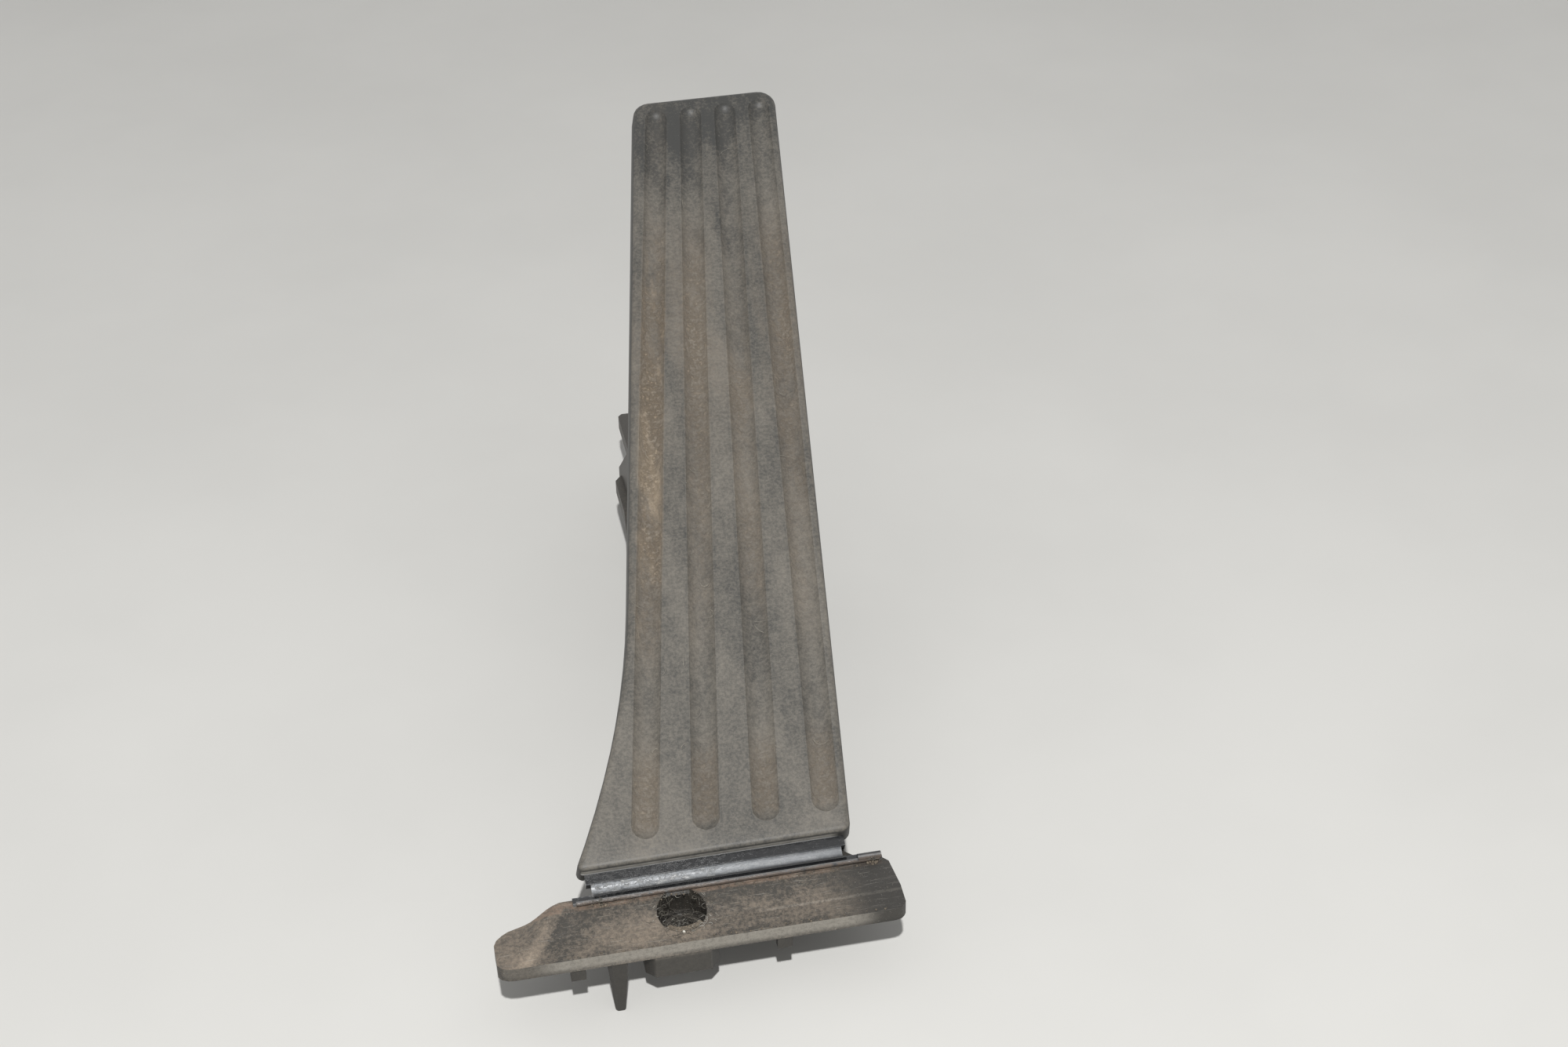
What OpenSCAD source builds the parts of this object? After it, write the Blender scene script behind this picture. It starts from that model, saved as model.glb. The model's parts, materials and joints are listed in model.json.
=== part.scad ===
// Floor-mounted accelerator pedal with a film hinge, a sprung roller lever and a position sensor.
// X runs along the hinge to the right, Y away from the driver's heel, Z up. Millimetres.
// The working coordinates have X = 0 and Y = 0 on the hinge line, and placed() moves them
// so that the origin is the centre of the bounding box's underside.

/* [Pedal plate] */
// Distance from the hinge line to the plate's far edge
plate_end = 247; // [220:1:270]
// Distance from the hinge line to the plate's near edge
plate_start = 4.5; // [4:0.1:6]
// Width of the plate across its far edge
plate_far_w = 43.8; // [36:0.2:50]
// Width of the plate at the hinge, without the flare
plate_near_w = 59.8; // [52:0.2:66]
// How far the far edge's middle lies to the right of the near edge's middle
plate_lean = 35; // [20:0.5:38]
// Position of the near edge's middle along the hinge
plate_near_x = 4.1; // [2:0.1:6]
// Extra width of the flare at the lower left
flare_w = 12.9; // [0:0.1:15]
// Length of the flare up the plate's left side
flare_len = 74; // [50:1:90]
// Thickness of the plate's skin
plate_t = 2.8; // [2.4:0.1:3]
// Depth of the turned-down rim, measured from the top face
rim_h = 6; // [5.6:0.1:6.2]
// Thickness of the rim's wall
rim_t = 2.2; // [1.6:0.1:3]
// Radius of the edge all round the top face
edge_r = 1.5; // [0.6:0.1:2]
// Corner radius at the far edge
far_corner_r = 5.4; // [3:0.1:8]
// Corner radius at the lower right
near_corner_r = 3; // [2.2:0.1:5]
// Corner radius at the tip of the flare
flare_corner_r = 1.9; // [1.6:0.1:3]
// Angle of the released plate above the table
rest_angle = 25; // [24.5:0.1:25.5]
// Pedal travel
travel = 14; // [8:0.5:14]

/* [Flutes] */
// Number of flutes
flute_count = 4; // [2:1:4]
// Depth of a flute
flute_depth = 1.6; // [0.8:0.1:1.8]
// Radius of a flute's floor at the hinge end
flute_near_r = 4.9; // [4:0.1:6]
// Radius of a flute's floor at the far end
flute_far_r = 4; // [3.4:0.1:5]
// Centre of the flutes' near ends, up the plate
flute_near_s = 14.4; // [13:0.1:20]
// Distance from the plate's far edge to the centre of the flutes' far ends
flute_far_gap = 7.2; // [6:0.1:12]
// First flute's near end along the hinge
flute_near_x = -18.4; // [-19:0.1:-16]
// Spacing of the near ends
flute_near_pitch = 15.75; // [14:0.05:16]
// First flute's far end along the hinge
flute_far_x = 23.2; // [22:0.1:25]
// Spacing of the far ends
flute_far_pitch = 10.45; // [9:0.05:10.6]

/* [Ribs under the plate] */
// Thickness of a rib
rib_t = 1.8; // [1.2:0.1:2.4]
// Spacing of the cross ribs
rib_pitch = 24; // [18:1:30]
// Clear width between the two long ribs, where the roller runs
rib_gap = 24; // [21:0.5:26]

/* [Film hinge] */
// Height of the hinge line above the table
hinge_z = 25.5; // [25.3:0.1:26]
// Inner radius of the trough-shaped web
web_r = 3; // [2.6:0.1:3.2]
// Thickness of the web
web_t = 0.8; // [0.6:0.1:1]
// Left end of the web along the hinge
web_left = -34.5; // [-35:0.1:-30]
// Right end of the web along the hinge
web_right = 30.6; // [26:0.1:31]
// How far the upper bar runs past each end of the web
bar_over = 1.2; // [0.5:0.1:2]
// Length of the upper bar up the plate
bar_len = 5.2; // [4:0.1:6]
// Height of the upper bar
bar_h = 2.6; // [2:0.1:3]
// How far the bar stands out from the plate's near edge
bar_out = 2.5; // [2:0.1:2.6]
// Left end of the lower flange
flange_left = -40; // [-41:0.1:-38]
// Right end of the lower flange
flange_right = 39.7; // [36:0.1:40]
// Depth of the lower flange, front to back
flange_d = 2.3; // [1.6:0.1:2.6]
// Height of the lower flange
flange_h = 2.3; // [1.6:0.1:2.6]
// Radius of the bead along the lower flange
bead_r = 0.6; // [0.4:0.05:0.8]

/* [Foot] */
// Height of the mounting plane above the table
mount_z = 17.5; // [17:0.1:18]
// Height of the foot's front band
band_h = 4; // [3:0.1:4.5]
// Height that the foot's top gains from the band to its crease
crease_h = 0.6; // [0.4:0.05:1.2]
// Height of the foot's top edge above the mounting plane, at the hinge
lip_h = 7.5; // [7:0.1:7.6]
// Distance from the hinge line to the foot's front face
foot_front = 20.3; // [19.8:0.1:24]
// Distance from the hinge line to the foot's back edge
foot_back = 3; // [2.9:0.1:3.2]
// Left end of the foot
foot_left = -61; // [-64:0.2:-59]
// Right end of the foot
foot_right = 42.6; // [41.8:0.1:46]
// Wall thickness over the hollows under the foot
foot_t = 2.4; // [1.8:0.1:2.6]
// Where the foot steps down to its left lobe, at the hinge
lobe_x = -43; // [-44:0.1:-42]
// Width of the step
lobe_ramp = 8; // [5:0.1:9]

/* [Fixings] */
// Fixing screw's clearance radius in both sleeves
screw_r = 3.4; // [3.1:0.05:3.6]
// Wall of a compression sleeve
sleeve_t = 1.4; // [1:0.1:1.8]
// Radius of the recess for the screw's head in the foot
recess_r = 6.3; // [5.6:0.1:6.6]
// Lower fixing's position along the hinge
lower_x = -13.4; // [-14.6:0.1:-12]
// Lower fixing's distance in front of the hinge
lower_y = -10.5; // [-11:0.1:-10]
// Depth of the boss under the foot
boss_h = 7; // [5:0.1:9]
// Width of the boss
boss_w = 18.8; // [16:0.1:19]
// Upper fixing's position along the hinge
upper_x = 17; // [16:0.1:18]
// Upper fixing's distance behind the hinge
upper_y = 208; // [204:0.5:212]
// Radius of the ear round the upper fixing
ear_r = 10.5; // [9:0.1:12]
// Thickness of the base flange and of the ear
base_t = 4.5; // [3.5:0.1:5]
// How far the boss reaches to the left of the fixing's middle
boss_shift = 1.5; // [0:0.1:1.8]
// Locating peg's position along the hinge
peg_x = -31.4; // [-33:0.1:-30]
// Width of the peg at its root
peg_root_w = 5.2; // [4:0.1:6]
// Width of the peg at its tip
peg_tip_w = 2.6; // [2:0.1:3.4]

/* [Housing] */
// Outer left side of the housing
side_left = -3.5; // [-4:0.1:-3]
// Outer right side of the housing
side_right = 37; // [36.5:0.1:37.4]
// How much narrower the housing is on the right at its nose
nose_taper = 6.5; // [6.2:0.1:9]
// Distance behind the hinge where the right side has its full width
nose_end = 46; // [42:0.5:50]
// Wall thickness
wall = 2.5; // [2:0.1:2.6]
// How far the base flange stands out from the walls
lip_out = 1.5; // [1:0.1:1.8]
// Front of the mechanism bay
bay_front = 64; // [62:0.2:64.4]
// Back of the mechanism bay
bay_back = 145; // [143:0.5:148]
// Slope of the housing's top, a little under the pressed plate
top_slope = 10.8; // [9.5:0.1:11]
// Height of the housing's top above the mounting plane, at its front
top_start_h = 2.5; // [2:0.1:2.6]
// Distance behind the hinge where the housing's top starts
top_start_y = 8; // [7:0.1:10]
// Length of the flat top that carries the bumper
deck_len = 15; // [14:0.5:18]
// Where the housing has sloped down to the ear
deck_foot_y = 190; // [184:0.5:194]

/* [Lever and roller] */
// Shaft's distance behind the hinge
shaft_y = 76; // [75.6:0.1:76.4]
// Shaft's height above the table
shaft_z = 17; // [16.6:0.1:17.4]
// Shaft's radius
shaft_r = 3; // [2.6:0.1:3.2]
// Distance from the shaft to the roller's pin
lever_len = 60; // [59:0.1:61]
// Radius of the lever's hub
hub_r = 7.5; // [7.1:0.1:7.6]
// Radius of the fork's rounded end
fork_r = 5; // [4.2:0.1:5.6]
// Thickness of each cheek of the fork
cheek_t = 2.3; // [2:0.1:2.5]
// Width of the roller
roller_w = 7; // [6:0.1:7.4]
// Radius of the roller
roller_r = 7; // [6.4:0.1:7.2]
// Radius of the roller's pin
pin_r = 2; // [1.6:0.1:2.2]
// Thickness of the steel wear strip
strip_t = 1.2; // [0.8:0.1:1.4]
// Wall of the lever's plain bushes
bush_t = 1.55; // [1.2:0.05:1.6]
// Length of a bush
bush_len = 8; // [6:0.5:10]
// Thickness of a bush's flange
bush_flange_t = 0.8; // [0.6:0.1:1]
// Thickness of a friction washer
friction_t = 2.2; // [1.6:0.1:2.4]

/* [Return springs] */
// Radius of the spring wire
wire_r = 0.9; // [0.7:0.05:0.92]
// Radius of the coils, to the middle of the wire
coil_r = 9.3; // [9.1:0.1:9.5]
// Number of whole coils
spring_coils = 3; // [2:1:3]
// Length of the leg that lifts the lever
lift_leg = 20; // [17:0.5:24]
// Length of the leg under the housing's ledge
ledge_leg = 11; // [10.6:0.1:11.4]

/* [Sensor and plug socket] */
// Front of the sensor chamber
chamber_front = 66; // [65.6:0.1:66.4]
// Length of the sensor chamber
chamber_len = 57; // [56:0.5:59]
// Underside of the sensor chamber
chamber_low = 5; // [4.9:0.1:5.4]
// Height of the sensor chamber
chamber_h = 23; // [22:0.2:23.4]
// Thickness of the sensor cover's wall
cover_t = 1.6; // [1.2:0.1:1.8]
// Depth of the sensor cover
cover_d = 5.2; // [5:0.1:5.4]
// Thickness of the seal
seal_t = 0.8; // [0.6:0.05:1]
// Thickness of the circuit board
board_t = 1.6; // [1.2:0.1:1.6]
// Number of contacts in the socket
pin_count = 6; // [4:1:6]
// Spacing of the contacts
pin_pitch = 2.5; // [2.2:0.05:2.6]
// Outer width of the socket
socket_w = 20; // [19:0.1:21]
// Outer depth of the socket
socket_d = 11; // [10:0.1:11.4]
// Length of the socket's mouth
socket_len = 18; // [14:0.5:20]
// Wall of the socket
socket_t = 1.7; // [1.4:0.1:1.9]

/* [Fits] */
// Radial clearance of a shaft that turns in its bush
run_gap = 0.05; // [0.03:0.01:0.08]
// Radial clearance of a pressed or glued piece
seat_gap = 0.02; // [0.01:0.01:0.04]
// Gap between a moving piece and what it nearly touches
move_gap = 0.3; // [0.25:0.05:0.4]

/* [Hidden] */
$fn = 48;

black_plastic = [0.20, 0.20, 0.19];
grey_plastic = [0.33, 0.33, 0.31];
steel = [0.62, 0.62, 0.63];
rubber = [0.09, 0.09, 0.09];

// Left side of the plate, its lean and its flare, as positions along the hinge
near_left_x = plate_near_x - plate_near_w / 2;
near_right_x = plate_near_x + plate_near_w / 2;
far_left_x = plate_near_x + plate_lean - plate_far_w / 2;
far_right_x = plate_near_x + plate_lean + plate_far_w / 2;
flare_steps = 9;

function mix(a, b, t) = a + (b - a) * t;
function left_edge(s) = mix(near_left_x, far_left_x, (s - plate_start) / (plate_end - plate_start));
function flare(s) = flare_w * pow(max(0, 1 - (s - plate_start) / flare_len), 2);

// Corners and flare of the plate's outline, anticlockwise from the flare's tip
plate_corners = concat(
    [
        [near_left_x - flare_w, plate_start],
        [near_right_x, plate_start],
        [far_right_x, plate_end],
        [far_left_x, plate_end]
    ],
    [for (i = [0:flare_steps - 1])
        let (s = plate_start + flare_len * (1 - i / flare_steps))
        [left_edge(s) - flare(s), s]]
);
plate_radii = concat(
    [flare_corner_r, near_corner_r, far_corner_r, far_corner_r],
    [for (i = [1:flare_steps]) 0]
);

// Inward normal of the edge that leaves point i of an anticlockwise outline
function edge_normal(p, i) =
    let (e = p[(i + 1) % len(p)] - p[i])
    [-e[1], e[0]] / norm(e);
// Point i moved in by d from both of its edges
function inset_point(p, i, d) =
    let (a = edge_normal(p, (i + len(p) - 1) % len(p)), b = edge_normal(p, i))
    p[i] + d * (a + b) / (1 + a * b);
function inset(p, d) = [for (i = [0:len(p) - 1]) inset_point(p, i, d)];
// Outline with its corners rounded, in arcs of k steps
function rounded(p, radii, k) = [
    for (i = [0:len(p) - 1])
        let (
            a = edge_normal(p, (i + len(p) - 1) % len(p)),
            b = edge_normal(p, i),
            start = atan2(-a[1], -a[0]),
            turn = acos(max(-1, min(1, a * b))),
            centre = inset_point(p, i, radii[i])
        )
        for (j = [0:radii[i] > 0 ? k : 0])
            radii[i] > 0
                ? centre + radii[i] * [cos(start + turn * j / k), sin(start + turn * j / k)]
                : p[i]
];
function plate_outline(d, k) =
    rounded(inset(plate_corners, d), [for (r = plate_radii) r > 0 ? max(r - d, 0.3) : 0], k);

// Faces that join rings of n points, with the first and last ring closed
function ring_faces(rings, n) = concat(
    [[for (i = [0:n - 1]) i]],
    [for (r = [0:rings - 2], i = [0:n - 1])
        [r * n + i, (r + 1) * n + i, (r + 1) * n + (i + 1) % n, r * n + (i + 1) % n]],
    [[for (i = [n - 1:-1:0]) (rings - 1) * n + i]]
);

// Places that several pieces share
bar_top = -plate_t;
foot_z = mount_z + band_h;
lip_z = mount_z + lip_h;
bay_left = side_left + wall;
bay_right = side_right - wall;
lever_x = (bay_left + bay_right) / 2;
bay_floor = wall;
block_front = bay_front - wall;
block_back = bay_back + wall;
deck_end = block_back + deck_len;
function top_z(y) = mount_z + top_start_h + (y - top_start_y) * tan(top_slope);
deck_z = top_z(block_back);
bay_cover_t = 2;
slot_half = 8.4;
slot_front = shaft_y - 2;
slot_back = bay_back - 2;

// Lever: its angle when released is where the roller touches the wear strip
roller_drop = plate_t + strip_t + move_gap + roller_r;
shaft_rise = shaft_z - hinge_z;
shaft_below = -shaft_rise * cos(rest_angle) + shaft_y * sin(rest_angle);
lever_rest = rest_angle + asin((shaft_below - roller_drop) / lever_len);
roller_y = shaft_y + lever_len * cos(lever_rest);
roller_z = shaft_z + lever_len * sin(lever_rest);
roller_s = roller_y * cos(rest_angle) + (roller_z - hinge_z) * sin(rest_angle);
fork_w = roller_w + 2 * move_gap + 2 * cheek_t;
hub_left = bay_left + friction_t + move_gap;
hub_right = bay_right - friction_t - move_gap;
bush_r = shaft_r + run_gap + bush_t;
magnet_outer = hub_r - 0.8;
magnet_inner = bush_r + 0.9;
magnet_t = 2.4;
spring_first = hub_left + wire_r + 0.2;
spring_last = lever_x - fork_w / 2 - wire_r - move_gap;

// Sensor chamber and socket
chamber_back = chamber_front + chamber_len;
cover_face = side_right + seal_t;
board_x = side_right + 1.2;
socket_x = cover_face + socket_d / 2;
socket_z = chamber_low + chamber_h / 2;
socket_back = chamber_back + 9;
screw_ear_r = 3.6;
screw_places = [
    [chamber_front - 2.6, chamber_low + chamber_h - 6],
    [chamber_back + 3, chamber_low + chamber_h + 1.2],
    [chamber_back + 3, chamber_low - 1.2]
];
screw_pilot_r = 1.3;
standoff_r = 1.6;
chip_w = 5.2;

// Middle of the bounding box, which becomes the origin
far_top_y = plate_end * cos(rest_angle) + rim_h * sin(rest_angle);
frame_x = (foot_left + inset_point(plate_corners, 2, far_corner_r)[0] + far_corner_r) / 2;
frame_y = (far_top_y - foot_front) / 2;

module placed() translate([-frame_x, -frame_y, 0]) children();
// The plate's own frame: X along the hinge, Y up the plate, Z out of its top face
module on_plate() placed() translate([0, 0, hinge_z]) rotate([rest_angle, 0, 0]) children();
// The lever's own frame: X along the hinge, Y along the arm
module on_lever() placed() translate([lever_x, shaft_y, shaft_z]) rotate([lever_rest, 0, 0]) children();
// A rod along the hinge between two positions
module x_rod(x0, x1, r) translate([x0, 0, 0]) rotate([0, 90, 0]) cylinder(h = x1 - x0, r = r);
// A flat shape given in Y and Z, as thick as x1 - x0
module yz_plate(x0, x1, points)
    translate([x0, 0, 0]) rotate([90, 0, 90]) linear_extrude(x1 - x0) polygon(points);
module box(low, high) translate(low) cube(high - low);

// A shell or solid whose outline shrinks over a list of [inset, height] levels
module plate_loft(levels, k) {
    rings = [for (l = levels) [for (p = plate_outline(l[0], k)) [p[0], p[1], l[1]]]];
    n = len(rings[0]);
    apex = k + 1;
    flare_0 = 4 * k + 4;
    // Each end is split into convex faces that meet at the near right corner
    end = concat(
        [[for (j = [apex:flare_0]) j]],
        [for (i = [0:flare_steps - 2]) [apex, flare_0 + i, flare_0 + i + 1]],
        [concat([apex, n - 1], [for (j = [0:k]) j])]
    );
    last = n * (len(rings) - 1);
    faces = concat(
        end,
        [for (r = [0:len(rings) - 2], i = [0:n - 1])
            [r * n + i, (r + 1) * n + i, (r + 1) * n + (i + 1) % n, r * n + (i + 1) % n]],
        [for (f = end) [for (j = [len(f) - 1:-1:0]) last + f[j]]]
    );
    polyhedron([for (r = rings) each r], faces, convexity = 4);
}

// A round-ended groove between two points at one height, with a radius at each end
module capsule(a, ra, b, rb) {
    sides = 40;
    tilt = [8, 24, 40, 56, 72, 90];
    v = b - a;
    d = norm(v);
    rings = concat(
        [for (t = tilt) [-ra * cos(t), ra * sin(t)]],
        [for (t = tilt) let (u = 98 - t) [d + rb * cos(u), rb * sin(u)]]
    );
    translate(a) rotate([0, acos(v[2] / d), atan2(v[1], v[0])]) polyhedron(
        [for (r = rings, i = [0:sides - 1]) [r[1] * cos(360 * i / sides), r[1] * sin(360 * i / sides), r[0]]],
        ring_faces(len(rings), sides), convexity = 4
    );
}

module flutes() {
    far_s = plate_end - flute_far_gap;
    for (i = [0:flute_count - 1])
        capsule(
            [flute_near_x + i * flute_near_pitch, flute_near_s, flute_near_r - flute_depth], flute_near_r,
            [flute_far_x + i * flute_far_pitch, far_s, flute_far_r - flute_depth], flute_far_r
        );
}

module under_ribs() {
    depth = rim_h - plate_t + 0.6;
    floor_n = -rim_h + 0.1;
    intersection() {
        translate([0, 0, floor_n]) linear_extrude(depth) polygon(inset(plate_corners, rim_t - 0.4));
        union() {
            for (side = [-1, 1])
                translate([lever_x + side * (rib_gap + rib_t) / 2 - rib_t / 2, 0, floor_n])
                    cube([rib_t, plate_end, depth]);
            for (s = [plate_start + bar_len + 8:rib_pitch:plate_end - 8])
                difference() {
                    translate([near_left_x - flare_w, s, floor_n])
                        cube([far_right_x - near_left_x + flare_w, rib_t, depth]);
                    translate([lever_x - rib_gap / 2, s - 1, floor_n - 1])
                        cube([rib_gap, rib_t + 2, depth + 2]);
                }
        }
    }
}

strip_w = roller_w + 6;
strip_front = roller_s - 2.3 * roller_r;
strip_back = roller_s + 4.3 * roller_r;

module pedal_plate() color(black_plastic) on_plate() {
    draft = 0.3;
    arc = [for (a = [22.5:22.5:90]) [draft + edge_r * (1 - cos(a)), -edge_r * (1 - sin(a))]];
    difference() {
        union() {
            difference() {
                plate_loft(concat([[0, -rim_h], [draft, -edge_r]], arc), 5);
                translate([0, 0, -rim_h - 1]) linear_extrude(rim_h + 1 - plate_t)
                    polygon(plate_outline(rim_t, 4));
            }
            under_ribs();
        }
        flutes();
        // Gap in the rim for the hinge's upper bar
        box(
            [web_left - bar_over - seat_gap, plate_start - 1, -rim_h - 1],
            [web_right + bar_over + seat_gap, plate_start - bar_out + bar_len + seat_gap, bar_top]
        );
    }
}

module track_strip() color(steel) on_plate() {
    difference() {
        box(
            [lever_x - strip_w / 2, strip_front, -plate_t - strip_t],
            [lever_x + strip_w / 2, strip_back, -plate_t]
        );
        for (s = [strip_front + 3, strip_back - 3])
            translate([lever_x, s, -plate_t - strip_t - 1]) cylinder(h = strip_t + 2, r = 1.2);
    }
}

module film_hinge() color([0.27, 0.29, 0.31]) {
    outer = web_r + web_t;
    first = 172;
    last = 330;
    steps = 6;
    open_angles = [for (i = [0:steps]) last + (first + 360 - last) * i / steps];
    flange_y = -web_r - flange_d + 0.4;
    placed() translate([0, 0, hinge_z]) {
        difference() {
            x_rod(web_left, web_right, outer);
            x_rod(web_left - 1, web_right + 1, web_r);
            // The trough is open at its top
            yz_plate(web_left - 1, web_right + 1, concat(
                [[0, 0]], [for (a = open_angles) 3 * outer * [cos(a), sin(a)]]
            ));
        }
        // Lower flange, set in the foot's lip, and its bead
        box([flange_left, flange_y, lip_z - hinge_z - flange_h + 0.3],
            [flange_right, flange_y + flange_d, lip_z - hinge_z + 0.3]);
        translate([0, flange_y, lip_z - hinge_z + 0.3]) x_rod(flange_left + 0.8, flange_right - 0.8, bead_r);
        // Thicker round end of the bead, at the right
        translate([0, flange_y + 0.5, lip_z - hinge_z + 0.75])
            x_rod(flange_right - 6.4, flange_right - 0.3, 1);
    }
    on_plate()
        box([web_left - bar_over, plate_start - bar_out, bar_top - bar_h],
            [web_right + bar_over, plate_start - bar_out + bar_len, bar_top]);
}

foot_rows = 8;
crease_t = 3 / foot_rows;

// Foot: positions of its front and back edges and the height of its top, across its length
function foot_front_y(x) = -foot_front + lookup(x, [
    [foot_left, 2.2], [foot_left + 0.8, 1], [foot_left + 2.4, 0.2], [foot_left + 4, 0],
    [foot_right - 3, 0], [foot_right - 1, 0.5], [foot_right, 2]
]);
function foot_back_y(x) = lookup(x, [
    [foot_left, -foot_front + 9], [foot_left + 1, -9.2], [foot_left + 3.5, -7.4],
    [lobe_x - lobe_ramp, -5.4], [lobe_x - 4, -3.6], [lobe_x, -foot_back],
    [foot_right - 5.6, -foot_back], [foot_right - 3.4, -3.9], [foot_right - 1.4, -5.6], [foot_right, -13]
]);
function smooth(t) = let (u = max(0, min(1, t))) u * u * (3 - 2 * u);
function foot_top(x, y) =
    let (
        t = (y + foot_front) / (foot_front - foot_back),
        lower = crease_h * t / crease_t,
        upper = mix(crease_h, lip_h - band_h, (t - crease_t) / (1 - crease_t)),
        rise = t < crease_t ? lower : upper,
        ramp_start = lobe_x - lobe_ramp - 0.73 * (-foot_back - y)
    )
    foot_z + rise * mix(0.12, 1, smooth((x - ramp_start) / lobe_ramp));

foot_stations = concat(
    [for (d = [0, 0.8, 2.4, 4, 6.5]) foot_left + d],
    [for (i = [0:9]) lobe_x - lobe_ramp - 3 + i * 1.5],
    [lobe_x + 6, 0, foot_right - 9],
    [for (d = [5.6, 3.4, 2.4, 1.4, 0.6, 0]) foot_right - d]
);

// Solid under the foot's curved top: shrink pulls in its sides and drop lowers its top
module foot_block(low, shrink, drop) {
    x0 = foot_left + (shrink > 0 ? shrink + 1.2 : 0);
    x1 = foot_right - shrink;
    xs = concat([x0], [for (x = foot_stations) if (x > x0 + 0.3 && x < x1 - 0.3) x], [x1]);
    n = len(xs);
    m = foot_rows + 1;
    function row_y(x, j) =
        let (front = foot_front_y(x) + shrink)
        mix(front, max(foot_back_y(x) - shrink, front + 0.5), j / foot_rows);
    top = [for (x = xs, j = [0:foot_rows]) let (y = row_y(x, j)) [x, y, foot_top(x, y) - drop]];
    bottom = [for (p = top) [p[0], p[1], low]];
    faces = concat(
        [for (i = [0:n - 2], j = [0:m - 2]) [i * m + j, (i + 1) * m + j, (i + 1) * m + j + 1]],
        [for (i = [0:n - 2], j = [0:m - 2]) [i * m + j, (i + 1) * m + j + 1, i * m + j + 1]],
        [for (i = [0:n - 2], j = [0:m - 2])
            let (k = n * m) [k + i * m + j, k + i * m + j + 1, k + (i + 1) * m + j + 1, k + (i + 1) * m + j]],
        [for (i = [0:n - 2]) [i * m, n * m + i * m, n * m + (i + 1) * m, (i + 1) * m]],
        [for (i = [0:n - 2])
            [i * m + m - 1, (i + 1) * m + m - 1, n * m + (i + 1) * m + m - 1, n * m + i * m + m - 1]],
        [for (j = [0:m - 2]) [j, j + 1, n * m + j + 1, n * m + j]],
        [for (j = [0:m - 2])
            let (k = (n - 1) * m) [k + j, n * m + k + j, n * m + k + j + 1, k + j + 1]]
    );
    polyhedron(concat(top, bottom), [for (f = faces) [for (i = [len(f) - 1:-1:0]) f[i]]], convexity = 6);
}

module chamfered_square(h, c) polygon([
    [h, h - c], [h - c, h], [c - h, h], [-h, h - c], [-h, c - h], [c - h, -h], [h - c, -h], [h, c - h]
]);

module locating_peg() {
    function ring(z, w, front, depth) = [
        [peg_x - w / 2, front + depth, z], [peg_x - w / 2, front + 0.25 * depth, z],
        [peg_x - w / 4, front, z], [peg_x + w / 2, front, z], [peg_x + w / 2, front + depth, z]
    ];
    front = -foot_front + 0.8;
    rings = [
        ring(0, peg_tip_w * 0.8, front + 0.5, 1.7),
        ring(1.4, peg_tip_w, front, 2.4),
        ring(mount_z - 3, peg_root_w * 0.9, front, 4.6),
        ring(mount_z + 1, peg_root_w, front, 4.8)
    ];
    polyhedron([for (r = rings) each r], ring_faces(len(rings), 5));
}

// Where the housing's left side starts to taper, and where it has come to at the back
taper_y = 126;
taper_x = 2.2;

// Plan of the base flange, from the foot back to the ear
ear_left = upper_x - ear_r;
ear_right = upper_x + ear_r;
ear_back = upper_y + ear_r + 1.5;
nose_right = side_right - nose_taper;
base_plan = [
    [side_left - 8, -foot_back - 2], [side_right + 0.5, -foot_back - 2], [side_right, 0],
    [nose_right + lip_out, 5], [nose_right + lip_out, top_start_y],
    [side_right + lip_out, nose_end], [side_right + lip_out, block_back + 3],
    [ear_right + 4, block_back + 16], [ear_right, deck_foot_y],
    [ear_right, ear_back - 3], [ear_right - 3, ear_back], [ear_left + 1.2, ear_back],
    [ear_left, ear_back - 1.2], [ear_left, deck_foot_y + 1], [ear_left - 2, deck_foot_y - 1.5],
    [0, 182.8], [0, 165.6], [side_left, taper_y + 4], [side_left - lip_out, taper_y - 6],
    [side_left - lip_out, 30], [side_left - 6, 10]
];

// Thin neck of the flange under the hinge and the pressed plate's near end
neck_t = 2.3;
neck_end = 20;

// Plan of the housing's walls, with its left side tapered towards the back; d moves it inwards
module wall_plan(d) polygon([
    [side_left + d, top_start_y + d], [nose_right - d, top_start_y + d],
    [side_right - d, nose_end + 0.1 * d], [side_right - d, block_back - d],
    [taper_x + d, block_back - d], [side_left + d, taper_y - 0.4 * d]
]);
module walled(d = 0) intersection() {
    children();
    translate([0, 0, -1]) linear_extrude(90) wall_plan(d);
}

// Plan of the walls that stand on the flange behind the bay
deck_left = 2.2;
deck_right = upper_x + ear_r + 2;

module side_profile(x0, x1) yz_plate(x0, x1, [
    [top_start_y, mount_z], [top_start_y, top_z(top_start_y)], [block_back, deck_z],
    [block_back, mount_z]
]);

module front_cells() {
    // Hollows under the housing's nose, open downwards, between ribs
    columns = [side_left, 9, 22, side_right];
    rows = [14, 30, 46, block_front - 1.6];
    for (i = [0:2], j = [0:2])
        yz_plate(columns[i] + (i > 0 ? rib_t / 2 : 0), columns[i + 1] - (i < 2 ? rib_t / 2 : 0), [
            [rows[j] + rib_t / 2, mount_z - 1],
            [rows[j + 1] - rib_t / 2, mount_z - 1],
            [rows[j + 1] - rib_t / 2, max(mount_z - 0.5, top_z(rows[j + 1]) - wall)],
            [rows[j] + rib_t / 2, max(mount_z - 0.5, top_z(rows[j]) - wall)]
        ]);
}

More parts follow.
